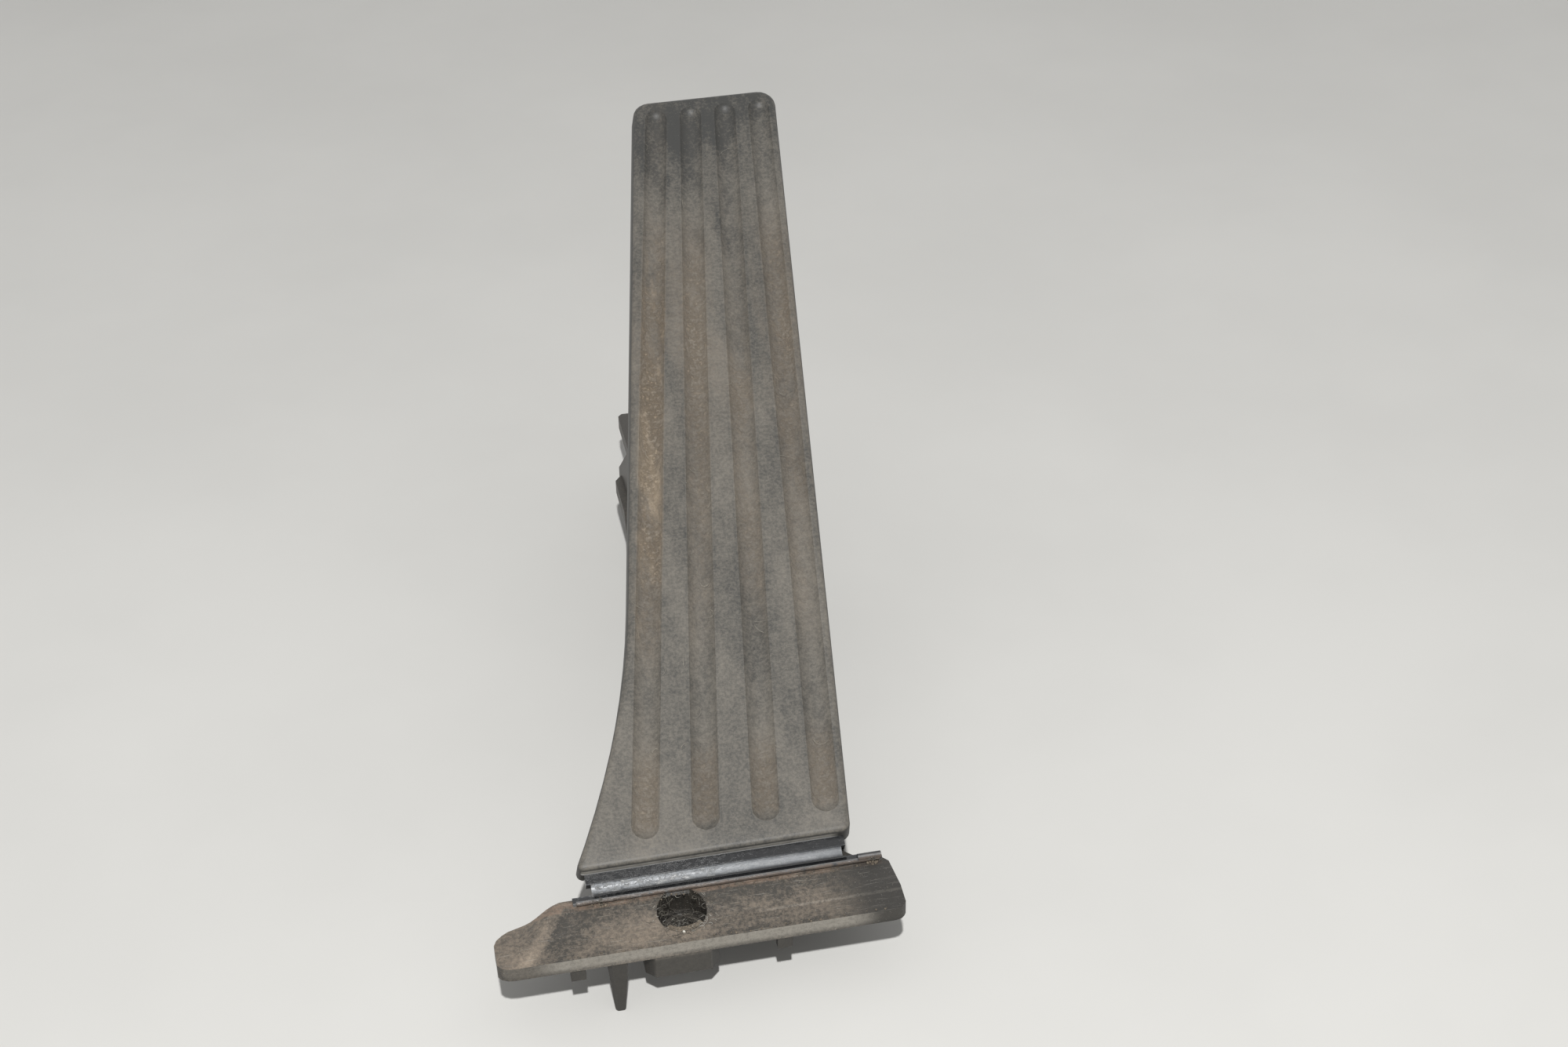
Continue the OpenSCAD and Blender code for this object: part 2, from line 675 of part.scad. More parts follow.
module deck() {
    // Raised seat for the bumper and the two webs that slope down to the ear
    difference() {
        yz_plate(deck_left, deck_right, [
            [block_back - 0.5, mount_z], [block_back - 0.5, deck_z], [deck_end, deck_z],
            [deck_foot_y, mount_z + base_t], [deck_foot_y, mount_z]
        ]);
        yz_plate(deck_left + wall, deck_right - wall, [
            [deck_end, mount_z + base_t], [deck_end, deck_z + 1], [deck_foot_y + 5, deck_z + 1],
            [deck_foot_y + 5, mount_z + base_t]
        ]);
        for (x = [deck_left + wall, (deck_left + deck_right + rib_t) / 2])
            box([x, block_back, mount_z - 1],
                [x + (deck_right - deck_left - 2 * wall - rib_t) / 2, deck_end - wall, deck_z - wall]);
    }
    box([deck_left + wall - 0.5, deck_end + 10, mount_z + base_t - 0.5],
        [deck_right - wall + 0.5, deck_end + 10 + rib_t, mount_z + base_t + 9]);
}

module pan() {
    r = 8;
    yz_plate(side_left, side_right, concat(
        [[block_front, mount_z + 4], [block_front, r]],
        [for (a = [195:15:270]) [block_front + r + r * cos(a), r + r * sin(a)]],
        [for (a = [270:15:345]) [block_back - r + r * cos(a), r + r * sin(a)]],
        [[block_back, mount_z + 4]]
    ));
}

module bay() {
    r = 6;
    yz_plate(bay_left, bay_right, concat(
        [[bay_front, 80], [bay_front, bay_floor + r]],
        [for (a = [195:15:270]) [bay_front + r + r * cos(a), bay_floor + r + r * sin(a)]],
        [for (a = [270:15:345]) [bay_back - r + r * cos(a), bay_floor + r + r * sin(a)]],
        [[bay_back, 80]]
    ));
}

ledge_z = shaft_z - coil_r + wire_r + move_gap;
bumper_y = block_back + deck_len / 2;
bumper_r = 6;

module base_housing() color(grey_plastic) placed() {
    difference() {
        union() {
            foot_block(mount_z, 0, 0);
            translate([0, 0, mount_z]) linear_extrude(base_t) intersection() {
                polygon(base_plan);
                translate([-80, neck_end]) square([160, 300]);
            }
            translate([0, 0, mount_z]) linear_extrude(neck_t) intersection() {
                polygon(base_plan);
                translate([-80, -foot_back - 2]) square([160, neck_end + foot_back + 3]);
            }
            translate([upper_x, upper_y, mount_z]) cylinder(h = base_t + 3, r = screw_r + sleeve_t + 2.4);
            walled() side_profile(side_left, side_right);
            deck();
            walled() pan();
            locating_peg();
            // Boss under the lower fixing
            translate([lower_x - boss_shift, lower_y, mount_z - boss_h]) linear_extrude(boss_h + 1.5)
                chamfered_square(boss_w / 2, 2.4);
            // Two tabs under the front band
            for (x = [-43.2, 9.2])
                box([x, -foot_front + 0.7, mount_z - 4], [x + 3.8, -foot_front + 2.7, mount_z + 1]);
        }
        // Hollows under the foot, between ribs
        difference() {
            foot_block(mount_z - 1, foot_t, foot_t);
            for (x = [-50, -36, -2, 12, 26])
                box([x, -foot_front, mount_z - 2], [x + rib_t, 0, lip_z]);
            translate([lower_x, lower_y, mount_z - 2]) cylinder(h = lip_h + 2, r = recess_r + 2.2);
            box([lower_x - boss_w / 2, -foot_front, mount_z - 2], [lower_x + boss_w / 2, 0, mount_z + 1.5]);
        }
        walled(wall) front_cells();
        walled(wall) bay();
        // Room beside the right wall for the sensor cover and its plug
        box([side_right, 52, mount_z - 1], [side_right + 9, block_back + 9, 60]);
        // Room for the shaft's head
        translate([0, shaft_y, shaft_z]) x_rod(side_left - 6, side_left, shaft_r + 2.4);
        // Seat of the bay cover
        yz_plate(side_left - 1, side_right + 1, [
            [block_front, top_z(block_front) - bay_cover_t],
            [block_back - 0.5, top_z(block_back - 0.5) - bay_cover_t],
            [block_back - 0.5, deck_z + 5], [block_front, deck_z + 5]
        ]);
        // Groove for the hinge's lower flange in the foot's lip
        box([flange_left - seat_gap, -web_r - flange_d + 0.4 - seat_gap, lip_z - flange_h + 0.3],
            [flange_right + seat_gap, 0, lip_z + 4]);
        // Lower fixing: head recess and sleeve bore
        translate([lower_x, lower_y, mount_z]) cylinder(h = 20, r = recess_r);
        translate([lower_x, lower_y, mount_z - boss_h - 1])
            cylinder(h = boss_h + 3, r = screw_r + sleeve_t + seat_gap);
        // Upper fixing: sleeve bore
        translate([upper_x, upper_y, mount_z - 1])
            cylinder(h = base_t + 5, r = screw_r + sleeve_t + seat_gap);
        // Shaft bores in both side walls
        translate([0, shaft_y, shaft_z]) x_rod(side_left - 1, side_right + 1, shaft_r + seat_gap);
        // Pilot holes of the cover screws
        for (p = screw_places)
            translate([0, p[0], p[1]]) x_rod(side_right - 7, side_right + 1, screw_pilot_r);
        // Bumper's stem
        translate([lever_x, bumper_y, deck_z - wall - 1]) cylinder(h = wall + 2, r = 2.6);
    }
    // Ledges that hold the springs' fixed legs down
    for (side = [-1, 1]) {
        inner = lever_x + side * (lever_x - spring_first - wire_r - 3);
        outer = side < 0 ? bay_left - 0.5 : bay_right + 0.5;
        box([min(inner, outer), bay_front - 0.5, ledge_z], [max(inner, outer), bay_front + 2, ledge_z + 4]);
    }
    // Bosses round the cover's screws, inside the wall
    for (p = screw_places)
        translate([0, p[0], p[1]]) difference() {
            x_rod(side_right - 7.5, side_right - wall + 0.5, 3.2);
            x_rod(side_right - 8, side_right, screw_pilot_r);
        }
    // Standoffs of the circuit board
    for (y = [shaft_y - chip_w / 2 - 3.4, chamber_back - 10],
         z = [chamber_low + 5, chamber_low + chamber_h - 5])
        translate([0, y, z]) x_rod(side_right - 0.5, board_x, standoff_r);
}

module sleeve(x, y, low, h) color(steel) placed() translate([x, y, low]) difference() {
    cylinder(h = h, r = screw_r + sleeve_t);
    translate([0, 0, -1]) cylinder(h = h + 2, r = screw_r);
}
module lower_mount_sleeve() sleeve(lower_x, lower_y, mount_z - boss_h, boss_h);
module upper_mount_sleeve() sleeve(upper_x, upper_y, mount_z, base_t + 3);

module bay_cover() color(black_plastic) placed() {
    difference() {
        union() {
            walled() yz_plate(side_left, side_right, [
                [block_front + seat_gap, top_z(block_front + seat_gap) - bay_cover_t],
                [block_back - 0.5 - seat_gap, top_z(block_back - 0.5 - seat_gap) - bay_cover_t],
                [block_back - 0.5 - seat_gap, top_z(block_back - 0.5)],
                [block_front + seat_gap, top_z(block_front)]
            ]);
            // Snap legs inside the side walls
            for (y = [bay_front + 22, bay_back - 30], x = [bay_left + seat_gap, bay_right - seat_gap - 1.4])
                yz_plate(x, x + 1.4, [
                    [y, top_z(y) - bay_cover_t - 6], [y + 8, top_z(y) - bay_cover_t - 6],
                    [y + 8, top_z(y + 8) - 1], [y, top_z(y) - 1]
                ]);
        }
        box([lever_x - slot_half, slot_front, 0], [lever_x + slot_half, slot_back, 80]);
    }
}

// Two rounded ends joined by straight sides, set in a little from both rounds
module tapered_bar(r0, r1, length, x0, x1) {
    set_in = 0.1;
    x_rod(x0, x1, r0);
    translate([0, length, 0]) x_rod(x0, x1, r1);
    yz_plate(x0, x1, [
        [0, r0 - set_in], [0, set_in - r0], [length, set_in - r1], [length, r1 - set_in]
    ]);
}

lug_gap = coil_r - wire_r - move_gap;

module lever_arm() color(black_plastic) on_lever() {
    half = fork_w / 2;
    hub_x0 = hub_left + bush_flange_t - lever_x;
    hub_x1 = hub_right - bush_flange_t - lever_x;
    inner = half - cheek_t;
    difference() {
        union() {
            tapered_bar(hub_r, fork_r, lever_len, -half, half);
            x_rod(hub_x0, hub_x1, hub_r);
            // Lugs that the springs' legs lift
            for (side = [-1, 1])
                translate([side < 0 ? -half - 2.4 : half - 0.5, 12, -lug_gap])
                    cube([2.9, 5, lug_gap - 1]);
        }
        // Fork for the roller
        translate([0, lever_len, 0]) x_rod(-roller_w / 2 - move_gap, roller_w / 2 + move_gap, roller_r + 1.6);
        box([-inner, lever_len, -12], [inner, lever_len + 12, 12]);
        // Pockets that leave a web between the cheeks
        for (side = [-1, 1])
            box([-inner, hub_r + 3, side > 0 ? 1.2 : -12],
                [inner, lever_len - roller_r - 5, side > 0 ? 12 : -1.2]);
        x_rod(hub_x0 - 1, hub_x1 + 1, bush_r + seat_gap);
        translate([0, lever_len, 0]) x_rod(-half - 1, half + 1, pin_r + seat_gap);
        // Groove for the magnet in the hub's right end
        difference() {
            x_rod(hub_x1 - magnet_t, hub_x1 + 1, magnet_outer);
            x_rod(hub_x1 - magnet_t - 1, hub_x1 + 2, magnet_inner);
        }
    }
}

module flanged_bush(x_end, side) color([0.55, 0.45, 0.25]) on_lever() {
    x0 = side < 0 ? x_end : x_end - bush_len;
    f0 = side < 0 ? x_end : x_end - bush_flange_t;
    difference() {
        union() {
            x_rod(x0, x0 + bush_len, bush_r);
            x_rod(f0, f0 + bush_flange_t, hub_r - 1);
        }
        x_rod(x0 - 1, x0 + bush_len + 1, shaft_r + run_gap);
    }
}
module lever_bush_left() flanged_bush(hub_left - lever_x, -1);
module lever_bush_right() flanged_bush(hub_right - lever_x, 1);

module magnet_ring() color([0.25, 0.25, 0.27]) on_lever() {
    x1 = hub_right - bush_flange_t - lever_x;
    difference() {
        x_rod(x1 - magnet_t, x1, magnet_outer - seat_gap);
        x_rod(x1 - magnet_t - 1, x1 + 1, magnet_inner + seat_gap);
    }
}

module lever_shaft() color(steel) placed() translate([0, shaft_y, shaft_z]) {
    x_rod(side_left - 1.6, side_left, shaft_r + 1.6);
    difference() {
        x_rod(side_left - 0.5, side_right + 0.7, shaft_r);
        difference() {
            x_rod(side_right, side_right + 0.5, shaft_r + 1);
            x_rod(side_right - 1, side_right + 1, shaft_r - 0.5);
        }
    }
}

module shaft_clip() color(steel) placed() translate([0, shaft_y, shaft_z]) difference() {
    x_rod(side_right, side_right + 0.5 - seat_gap, shaft_r + 1.5);
    x_rod(side_right - 1, side_right + 1, shaft_r - 0.5 + seat_gap);
    box([side_right - 1, 0, -1], [side_right + 1, shaft_r + 3, 1]);
}

module roller() color([0.75, 0.74, 0.70]) on_lever() translate([0, lever_len, 0]) difference() {
    union() {
        x_rod(-roller_w / 2 + 0.6, roller_w / 2 - 0.6, roller_r);
        x_rod(-roller_w / 2, roller_w / 2, roller_r - 1.2);
    }
    x_rod(-roller_w, roller_w, pin_r + run_gap);
    for (side = [-1, 1])
        difference() {
            x_rod(side < 0 ? -roller_w : roller_w / 2 - 1,
                side < 0 ? -roller_w / 2 + 1 : roller_w, roller_r - 2.2);
            x_rod(-roller_w - 1, roller_w + 1, pin_r + 1.6);
        }
}

module roller_pin() color(steel) on_lever() translate([0, lever_len, 0])
    x_rod(-fork_w / 2, fork_w / 2, pin_r);

// Wire swept along a path that lies almost square to the hinge line
module wire(path, r, sides) {
    n = len(path);
    function along(i) = let (v = path[min(n - 1, i + 1)] - path[max(0, i - 1)]) v / norm(v);
    rings = [for (i = [0:n - 1])
        let (t = along(i), u0 = cross([1, 0, 0], t), u = u0 / norm(u0), v = cross(t, u))
        [for (k = [0:sides - 1]) path[i] + r * (cos(360 * k / sides) * u + sin(360 * k / sides) * v)]];
    polyhedron([for (ring = rings) each ring], ring_faces(n, sides), convexity = 8);
}

// Leg spring: a fixed leg towards the front, coils round the hub and a leg that lifts the lever
function spring_path(x0, x1) =
    let (
        end_angle = lever_rest - 90,
        start_angle = -90 - 360 * spring_coils,
        steps = 40,
        coils = [for (i = [0:steps])
            let (a = mix(start_angle, end_angle, i / steps))
            [mix(x0, x1, i / steps), coil_r * cos(a), coil_r * sin(a)]],
        lift = [0, cos(lever_rest), sin(lever_rest)]
    )
    concat(
        [[x0, -ledge_leg, -coil_r], [x0, -ledge_leg / 2, -coil_r]],
        coils,
        [for (d = [lift_leg / 2, lift_leg]) coils[steps] + d * lift]
    );

module return_spring_left() color(steel) placed() translate([0, shaft_y, shaft_z])
    wire(spring_path(spring_first, spring_last), wire_r, 8);
module return_spring_right() color(steel) placed() translate([0, shaft_y, shaft_z])
    wire(spring_path(2 * lever_x - spring_first, 2 * lever_x - spring_last), wire_r, 8);

module friction_washer(x0) color([0.60, 0.50, 0.35]) placed() translate([0, shaft_y, shaft_z]) difference() {
    x_rod(x0, x0 + friction_t, hub_r);
    x_rod(x0 - 1, x0 + friction_t + 1, shaft_r + seat_gap);
    for (a = [0, 120, 240])
        rotate([a, 0, 0]) box([x0 - 1, hub_r - 3, -0.5], [x0 + friction_t + 1, hub_r + 1, 0.5]);
}
module friction_washer_left() friction_washer(bay_left);
module friction_washer_right() friction_washer(bay_right - friction_t);

board_gap = 2.4;
module circuit_board() color([0.10, 0.28, 0.17]) placed() difference() {
    box([board_x, chamber_front + board_gap, chamber_low + board_gap],
        [board_x + board_t, chamber_back - board_gap, chamber_low + chamber_h - board_gap]);
    // Clearance round the shaft's end
    translate([0, shaft_y, shaft_z]) x_rod(side_right, side_right + 5, shaft_r + 2);
}

module hall_sensors() color([0.08, 0.08, 0.08]) placed()
    for (z = [shaft_z - 7.9, shaft_z + 5.1])
        box([board_x - 0.9, shaft_y - chip_w / 2, z], [board_x, shaft_y + chip_w / 2, z + 2.8]);

// Rounded outline in Y and Z
module yz_round_box(x0, x1, low, high, r) {
    yz_plate(x0, x1, [
        for (c = [[high[0] - r, high[1] - r, 0], [low[0] + r, high[1] - r, 90],
                  [low[0] + r, low[1] + r, 180], [high[0] - r, low[1] + r, 270]])
            for (a = [0:22.5:90]) [c[0] + r * cos(c[2] + a), c[1] + r * sin(c[2] + a)]
    ]);
}

chamber_lo = [chamber_front, chamber_low];
chamber_hi = [chamber_back, chamber_low + chamber_h];

function contact_z(i) = socket_z + (i - (pin_count - 1) / 2) * pin_pitch;
module contact_shape(grow) {
    t = 0.32 + grow;
    low = board_x + board_t + 0.32 + seat_gap;
    bend = chamber_back - board_gap - 3;
    for (i = [0:pin_count - 1])
        translate([0, 0, contact_z(i) - t]) linear_extrude(2 * t) polygon([
            [low - t, bend - 5 - grow], [low + t, bend - 5 - grow], [low + t, bend - t],
            [socket_x + t, bend - t], [socket_x + t, socket_back + socket_len - 5],
            [socket_x - t, socket_back + socket_len - 5], [socket_x - t, bend + t], [low - t, bend + t]
        ]);
}

module sensor_cover() color(black_plastic) placed() difference() {
    union() {
        yz_round_box(cover_face, cover_face + cover_d, chamber_lo, chamber_hi, 3);
        for (p = screw_places)
            translate([0, p[0], p[1]]) x_rod(side_right, side_right + 3, screw_ear_r);
        // Neck and socket
        box([cover_face, chamber_back - 8, socket_z - socket_w / 2],
            [cover_face + socket_d, socket_back + socket_len, socket_z + socket_w / 2]);
        // Latch ramp for the plug
        translate([0, 0, socket_z - 3]) linear_extrude(6) polygon([
            [cover_face + socket_d - 0.1, socket_back + 5], [cover_face + socket_d + 1.6, socket_back + 10],
            [cover_face + socket_d - 0.1, socket_back + 10]
        ]);
    }
    yz_round_box(cover_face - 1, cover_face + cover_d - cover_t,
        chamber_lo + [cover_t, cover_t], chamber_hi - [cover_t, cover_t], 2);
    for (p = screw_places)
        translate([0, p[0], p[1]]) x_rod(side_right - 1, side_right + 9, screw_pilot_r + 0.2);
    // The socket's mouth
    box([cover_face + socket_t, socket_back, socket_z - socket_w / 2 + socket_t],
        [cover_face + socket_d - socket_t, socket_back + socket_len + 1, socket_z + socket_w / 2 - socket_t]);
    contact_shape(0.03);
}

module cover_seal() color(rubber) placed() difference() {
    yz_round_box(side_right, cover_face, chamber_lo, chamber_hi, 3);
    yz_round_box(side_right - 1, cover_face + 1,
        chamber_lo + [cover_t, cover_t], chamber_hi - [cover_t, cover_t], 2);
    for (p = screw_places)
        translate([0, p[0], p[1]]) x_rod(side_right - 1, side_right + 4, screw_ear_r + seat_gap);
}

module cover_screws() color(steel) placed()
    for (p = screw_places)
        translate([0, p[0], p[1]]) difference() {
            union() {
                x_rod(side_right - 6, side_right + 3.5, screw_pilot_r - seat_gap);
                x_rod(side_right + 3, side_right + 5, 2.6);
            }
            x_rod(side_right + 4, side_right + 6, 1.1);
        }

module connector_pins() color([0.70, 0.62, 0.35]) placed() contact_shape(0);

module rest_stop() color(rubber) placed() {
    // Its back face is parallel to the released lever's upper edge
    z0 = top_z(slot_front) - bay_cover_t - 1.6;
    z1 = top_z(slot_front);
    edge_r0 = hub_r - (hub_r - fork_r) * 0.2 + move_gap;
    y0 = shaft_y + (z0 - shaft_z) / tan(lever_rest) - edge_r0 / sin(lever_rest);
    y1 = shaft_y + (z1 - shaft_z) / tan(lever_rest) - edge_r0 / sin(lever_rest);
    yz_plate(lever_x - 6, lever_x + 6, [[slot_front, z0], [y0, z0], [y1, z1], [slot_front, z1]]);
}

module end_bumper() color(rubber) placed() translate([lever_x, bumper_y, 0]) {
    pressed = rest_angle - travel;
    under = hinge_z + (bumper_y - bumper_r) * tan(pressed) - plate_t / cos(pressed);
    translate([0, 0, deck_z]) cylinder(h = under - deck_z - move_gap, r1 = bumper_r, r2 = bumper_r - 1);
    translate([0, 0, deck_z - wall - 0.5]) cylinder(h = wall + 1, r = 2.6 - seat_gap);
}

base_housing();
lower_mount_sleeve();
upper_mount_sleeve();
bay_cover();
film_hinge();
pedal_plate();
track_strip();
lever_arm();
lever_bush_left();
lever_bush_right();
magnet_ring();
lever_shaft();
shaft_clip();
roller();
roller_pin();
return_spring_left();
return_spring_right();
friction_washer_left();
friction_washer_right();
circuit_board();
hall_sensors();
sensor_cover();
cover_seal();
cover_screws();
connector_pins();
rest_stop();
end_bumper();
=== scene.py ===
"""Dresses a floor-mounted accelerator pedal: dusty moulded nylon, a glossy film hinge, the parts below."""

import json
import math
import random

import bmesh
import bpy
from mathutils import Matrix, Vector


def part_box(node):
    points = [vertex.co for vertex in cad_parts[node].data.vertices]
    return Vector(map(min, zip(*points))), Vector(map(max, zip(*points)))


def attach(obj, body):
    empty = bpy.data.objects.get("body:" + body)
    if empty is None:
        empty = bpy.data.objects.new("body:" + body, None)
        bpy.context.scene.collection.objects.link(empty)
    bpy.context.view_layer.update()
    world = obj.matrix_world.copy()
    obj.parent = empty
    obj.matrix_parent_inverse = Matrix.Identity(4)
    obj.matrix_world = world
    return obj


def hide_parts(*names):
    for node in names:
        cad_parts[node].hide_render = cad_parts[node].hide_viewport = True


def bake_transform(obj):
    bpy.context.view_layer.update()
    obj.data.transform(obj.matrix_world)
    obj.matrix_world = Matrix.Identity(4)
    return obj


bl_info = {
    "name": "Accelerator Pedal",
    "version": (1, 0, 0),
    "blender": (4, 5, 0),
    "location": "3D View > Sidebar > Pedal",
    "description": "Finishes each piece of a floor-mounted accelerator pedal and sets its stage",
    "category": "Object",
}

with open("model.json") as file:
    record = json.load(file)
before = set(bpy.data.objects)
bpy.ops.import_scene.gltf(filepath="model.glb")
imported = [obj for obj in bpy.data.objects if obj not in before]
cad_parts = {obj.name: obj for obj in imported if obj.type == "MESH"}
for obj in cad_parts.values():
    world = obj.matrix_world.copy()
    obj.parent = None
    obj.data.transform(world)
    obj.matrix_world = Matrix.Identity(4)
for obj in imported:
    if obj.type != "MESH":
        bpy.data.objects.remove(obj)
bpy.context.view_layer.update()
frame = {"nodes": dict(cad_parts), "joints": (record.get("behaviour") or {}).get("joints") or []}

MM = 0.001
JOINTS = {joint["name"]: joint for joint in frame["joints"]}
HINGE = Vector(JOINTS["pedal_hinge"]["pos_m"])
SHAFT = Vector(JOINTS["lever_pivot"]["pos_m"])
REST_ANGLE = math.radians(25)
NYLON_IOR = 1.52
# Edges whose faces turn by more than this, in degrees, stay sharp and are softened by a bevel
SHARP_ANGLE = 34.0
# Points nearer than this are joined, and so are faces that turn by less than this, in degrees
WELD, FLAT_ANGLE = 0.002 * MM, 0.4

# The flutes, in millimetres: s of their lower ends, x of the first there, its lean, their pitch and the
# change of the pitch up the plate
FLUTE_FOOT, FIRST_FLUTE, FLUTE_LEAN, FLUTE_PITCH, PITCH_CHANGE = 14.4, -18.4, 0.18456, 15.75, -0.023514

# The fixing recess, in millimetres from the hinge line: its middle, the reach of what lies in it, its floor
RECESS_X, RECESS_Y, RECESS_REACH, RECESS_FLOOR = -13.4, -10.5, 6.2, 17.6

# The return springs' legs: how far the lever's leg is lifted, and the lengths of both, in millimetres
LEG_LIFT, BASE_LEG, LEVER_LEG = math.radians(53.384), 11, 20


def from_hinge(x, y, z):
    """A point given in millimetres from the hinge line, with z from the table, in the row frame."""
    return Vector((HINGE.x + x * MM, HINGE.y + y * MM, z * MM))


def on_plate(x, s, n=0.0):
    """A point on the released plate: x along the hinge, s up the plate, n out of its top, in millimetres."""
    c, k = math.cos(REST_ANGLE), math.sin(REST_ANGLE)
    return HINGE + Vector((x, s * c - n * k, s * k + n * c)) * MM


# Sizes and colours that a user would change


class PlateLook(bpy.types.PropertyGroup):
    """Colours and dirt of the foot plate"""

    nylon: bpy.props.StringProperty(name="Nylon", description="Bare plate, sRGB hex", default="333331")
    dust: bpy.props.StringProperty(
        name="Dust film", description="Even film of dust, sRGB hex", default="857F75"
    )
    soil: bpy.props.StringProperty(
        name="Soil", description="Brown soil in the flutes, sRGB hex", default="918371"
    )
    film: bpy.props.FloatProperty(
        name="Film", description="How much dust lies on it", default=0.42, min=0, max=1
    )
    soiling: bpy.props.FloatProperty(
        name="Soiling", description="How much soil lies in it", default=0.8, min=0, max=1
    )
    edge: bpy.props.FloatProperty(
        name="Edge radius", description="Softens its edges", default=0.35 * MM, unit="LENGTH", precision=5
    )


class FootLook(bpy.types.PropertyGroup):
    """Colours of the foot and housing"""

    nylon: bpy.props.StringProperty(name="Nylon", description="Bare housing, sRGB hex", default="37342F")
    dust: bpy.props.StringProperty(
        name="Dust", description="Dust on upward faces, sRGB hex", default="9E9080"
    )
    rust: bpy.props.StringProperty(
        name="Red dust", description="Red-brown dust by the hinge, sRGB hex", default="857060"
    )
    scuff: bpy.props.StringProperty(
        name="Scuffing", description="Scuffed front band, sRGB hex", default="918C83"
    )
    edge: bpy.props.FloatProperty(
        name="Edge radius", description="Softening of its edges", default=0.4 * MM, unit="LENGTH", precision=5
    )


class HingeLook(bpy.types.PropertyGroup):
    """Colours and gloss of the film hinge"""

    elastomer: bpy.props.StringProperty(
        name="Elastomer", description="Bare strip, sRGB hex", default="2B2D30"
    )
    grit: bpy.props.StringProperty(
        name="Grit", description="Pale grit stuck to it, sRGB hex", default="C4C4C2"
    )
    gloss: bpy.props.FloatProperty(
        name="Roughness", description="Roughness where clean", default=0.24, min=0, max=1
    )


class SpringSize(bpy.types.PropertyGroup):
    """Sizes of the return springs"""

    wire: bpy.props.FloatProperty(
        name="Wire radius", description="Radius of the wire", default=0.9 * MM, unit="LENGTH", precision=5
    )
    coil: bpy.props.FloatProperty(
        name="Coil radius", description="To the wire's middle", default=9.3 * MM, unit="LENGTH", precision=5
    )
    turns: bpy.props.IntProperty(name="Turns", description="Whole turns of wire", default=3, min=1, max=5)


class LintLook(bpy.types.PropertyGroup):
    """Colours and amounts of hair, lint and crumbs"""

    fibre: bpy.props.StringProperty(name="Fibre", description="Hair and lint, sRGB hex", default="A39D8F")
    crumb: bpy.props.StringProperty(name="Crumb", description="Crumbs of soil, sRGB hex", default="8E8273")
    crumbs: bpy.props.IntProperty(
        name="Crumbs", description="Crumbs on the foot", default=150, min=0, max=400
    )
    count: bpy.props.IntProperty(
        name="Fibres", description="Fibres on the plate", default=26, min=0, max=80
    )
    tangle: bpy.props.IntProperty(
        name="Tangle", description="Fibres in the fixing recess", default=130, min=0, max=200
    )


class StageLook(bpy.types.PropertyGroup):
    """Floor, light and lens"""

    floor: bpy.props.StringProperty(name="Floor", description="Floor panel, sRGB hex", default="D8D7D3")
    key: bpy.props.FloatProperty(
        name="Key lamp", description="Power of the key lamp in watts", default=18.5, min=0
    )
    fill: bpy.props.FloatProperty(
        name="Fill", description="Strength of the even light", default=0.36, min=0
    )
    lens: bpy.props.FloatProperty(
        name="Lens", description="Focal length on a 36 mm sensor", default=60.17, min=10
    )


# Material tools


def colour(hex_code):
    """An sRGB hex value as linear RGBA."""
    parts = [int(hex_code[i : i + 2], 16) / 255 for i in (0, 2, 4)]
    return tuple([p / 12.92 if p <= 0.04045 else ((p + 0.055) / 1.055) ** 2.4 for p in parts] + [1.0])


# Kinds of node, each with the settings that it has everywhere
COORDINATES = ("TexCoord", {})
GEOMETRY = ("NewGeometry", {})
NOISE = ("TexNoise", {})
PLACE = ("Mapping", {})
SPLIT = ("SeparateXYZ", {})
BUMP = ("Bump", {})
MIX = ("Mix", {"data_type": "RGBA"})
FADE = ("MapRange", {"interpolation_type": "SMOOTHSTEP"})
DOT = ("VectorMath", {"operation": "DOT_PRODUCT"})
TIMES, PLUS, MINUS, OVER, MOST = [
    ("Math", {"operation": name}) for name in ("MULTIPLY", "ADD", "SUBTRACT", "DIVIDE", "MAXIMUM")
]
SCALED, POWER, ROOT, SIZE, FRACTION = [
    ("Math", {"operation": name}) for name in ("MULTIPLY_ADD", "POWER", "SQRT", "ABSOLUTE", "FRACT")
]


def feed(node, inputs):
    """Gives a node's inputs, by name or number, their values or the sockets that feed them."""
    for key, value in inputs.items():
        if isinstance(value, bpy.types.NodeSocket):
            node.id_data.links.new(value, node.inputs[key])
        elif value is not None:
            node.inputs[key].default_value = value


def add(tree, kind, *values, **settings):
    """A node of that kind, whose visible inputs take the values in order, with None to skip one.

    It gives the node's first visible output.
    """
    node = tree.nodes.new("ShaderNode" + kind[0])
    for key, value in {**kind[1], **settings}.items():
        setattr(node, key, value)
    visible = [i for i, socket in enumerate(node.inputs) if socket.enabled]
    feed(node, dict(zip(visible, values)))
    return next((socket for socket in node.outputs if socket.enabled), None)


def surface(name):
    """A new material, its tree, its shader and the place on it in millimetres in the row frame."""
    material = bpy.data.materials.new(name)
    material.use_nodes = True
    tree = material.node_tree
    place = add(tree, COORDINATES).node.outputs["Object"]
    return material, tree, tree.nodes["Principled BSDF"], add(tree, PLACE, place, None, None, [1 / MM] * 3)


def facing(tree):
    """How far the surface faces along x, y and z, each from -1 to 1."""
    return add(tree, SPLIT, add(tree, GEOMETRY).node.outputs["Normal"]).node.outputs


def hinge_place(tree, where):
    """x and y in millimetres from the hinge line, and z from the table."""
    x, y, z = add(tree, SPLIT, where).node.outputs
    return add(tree, MINUS, x, HINGE.x / MM), add(tree, MINUS, y, HINGE.y / MM), z


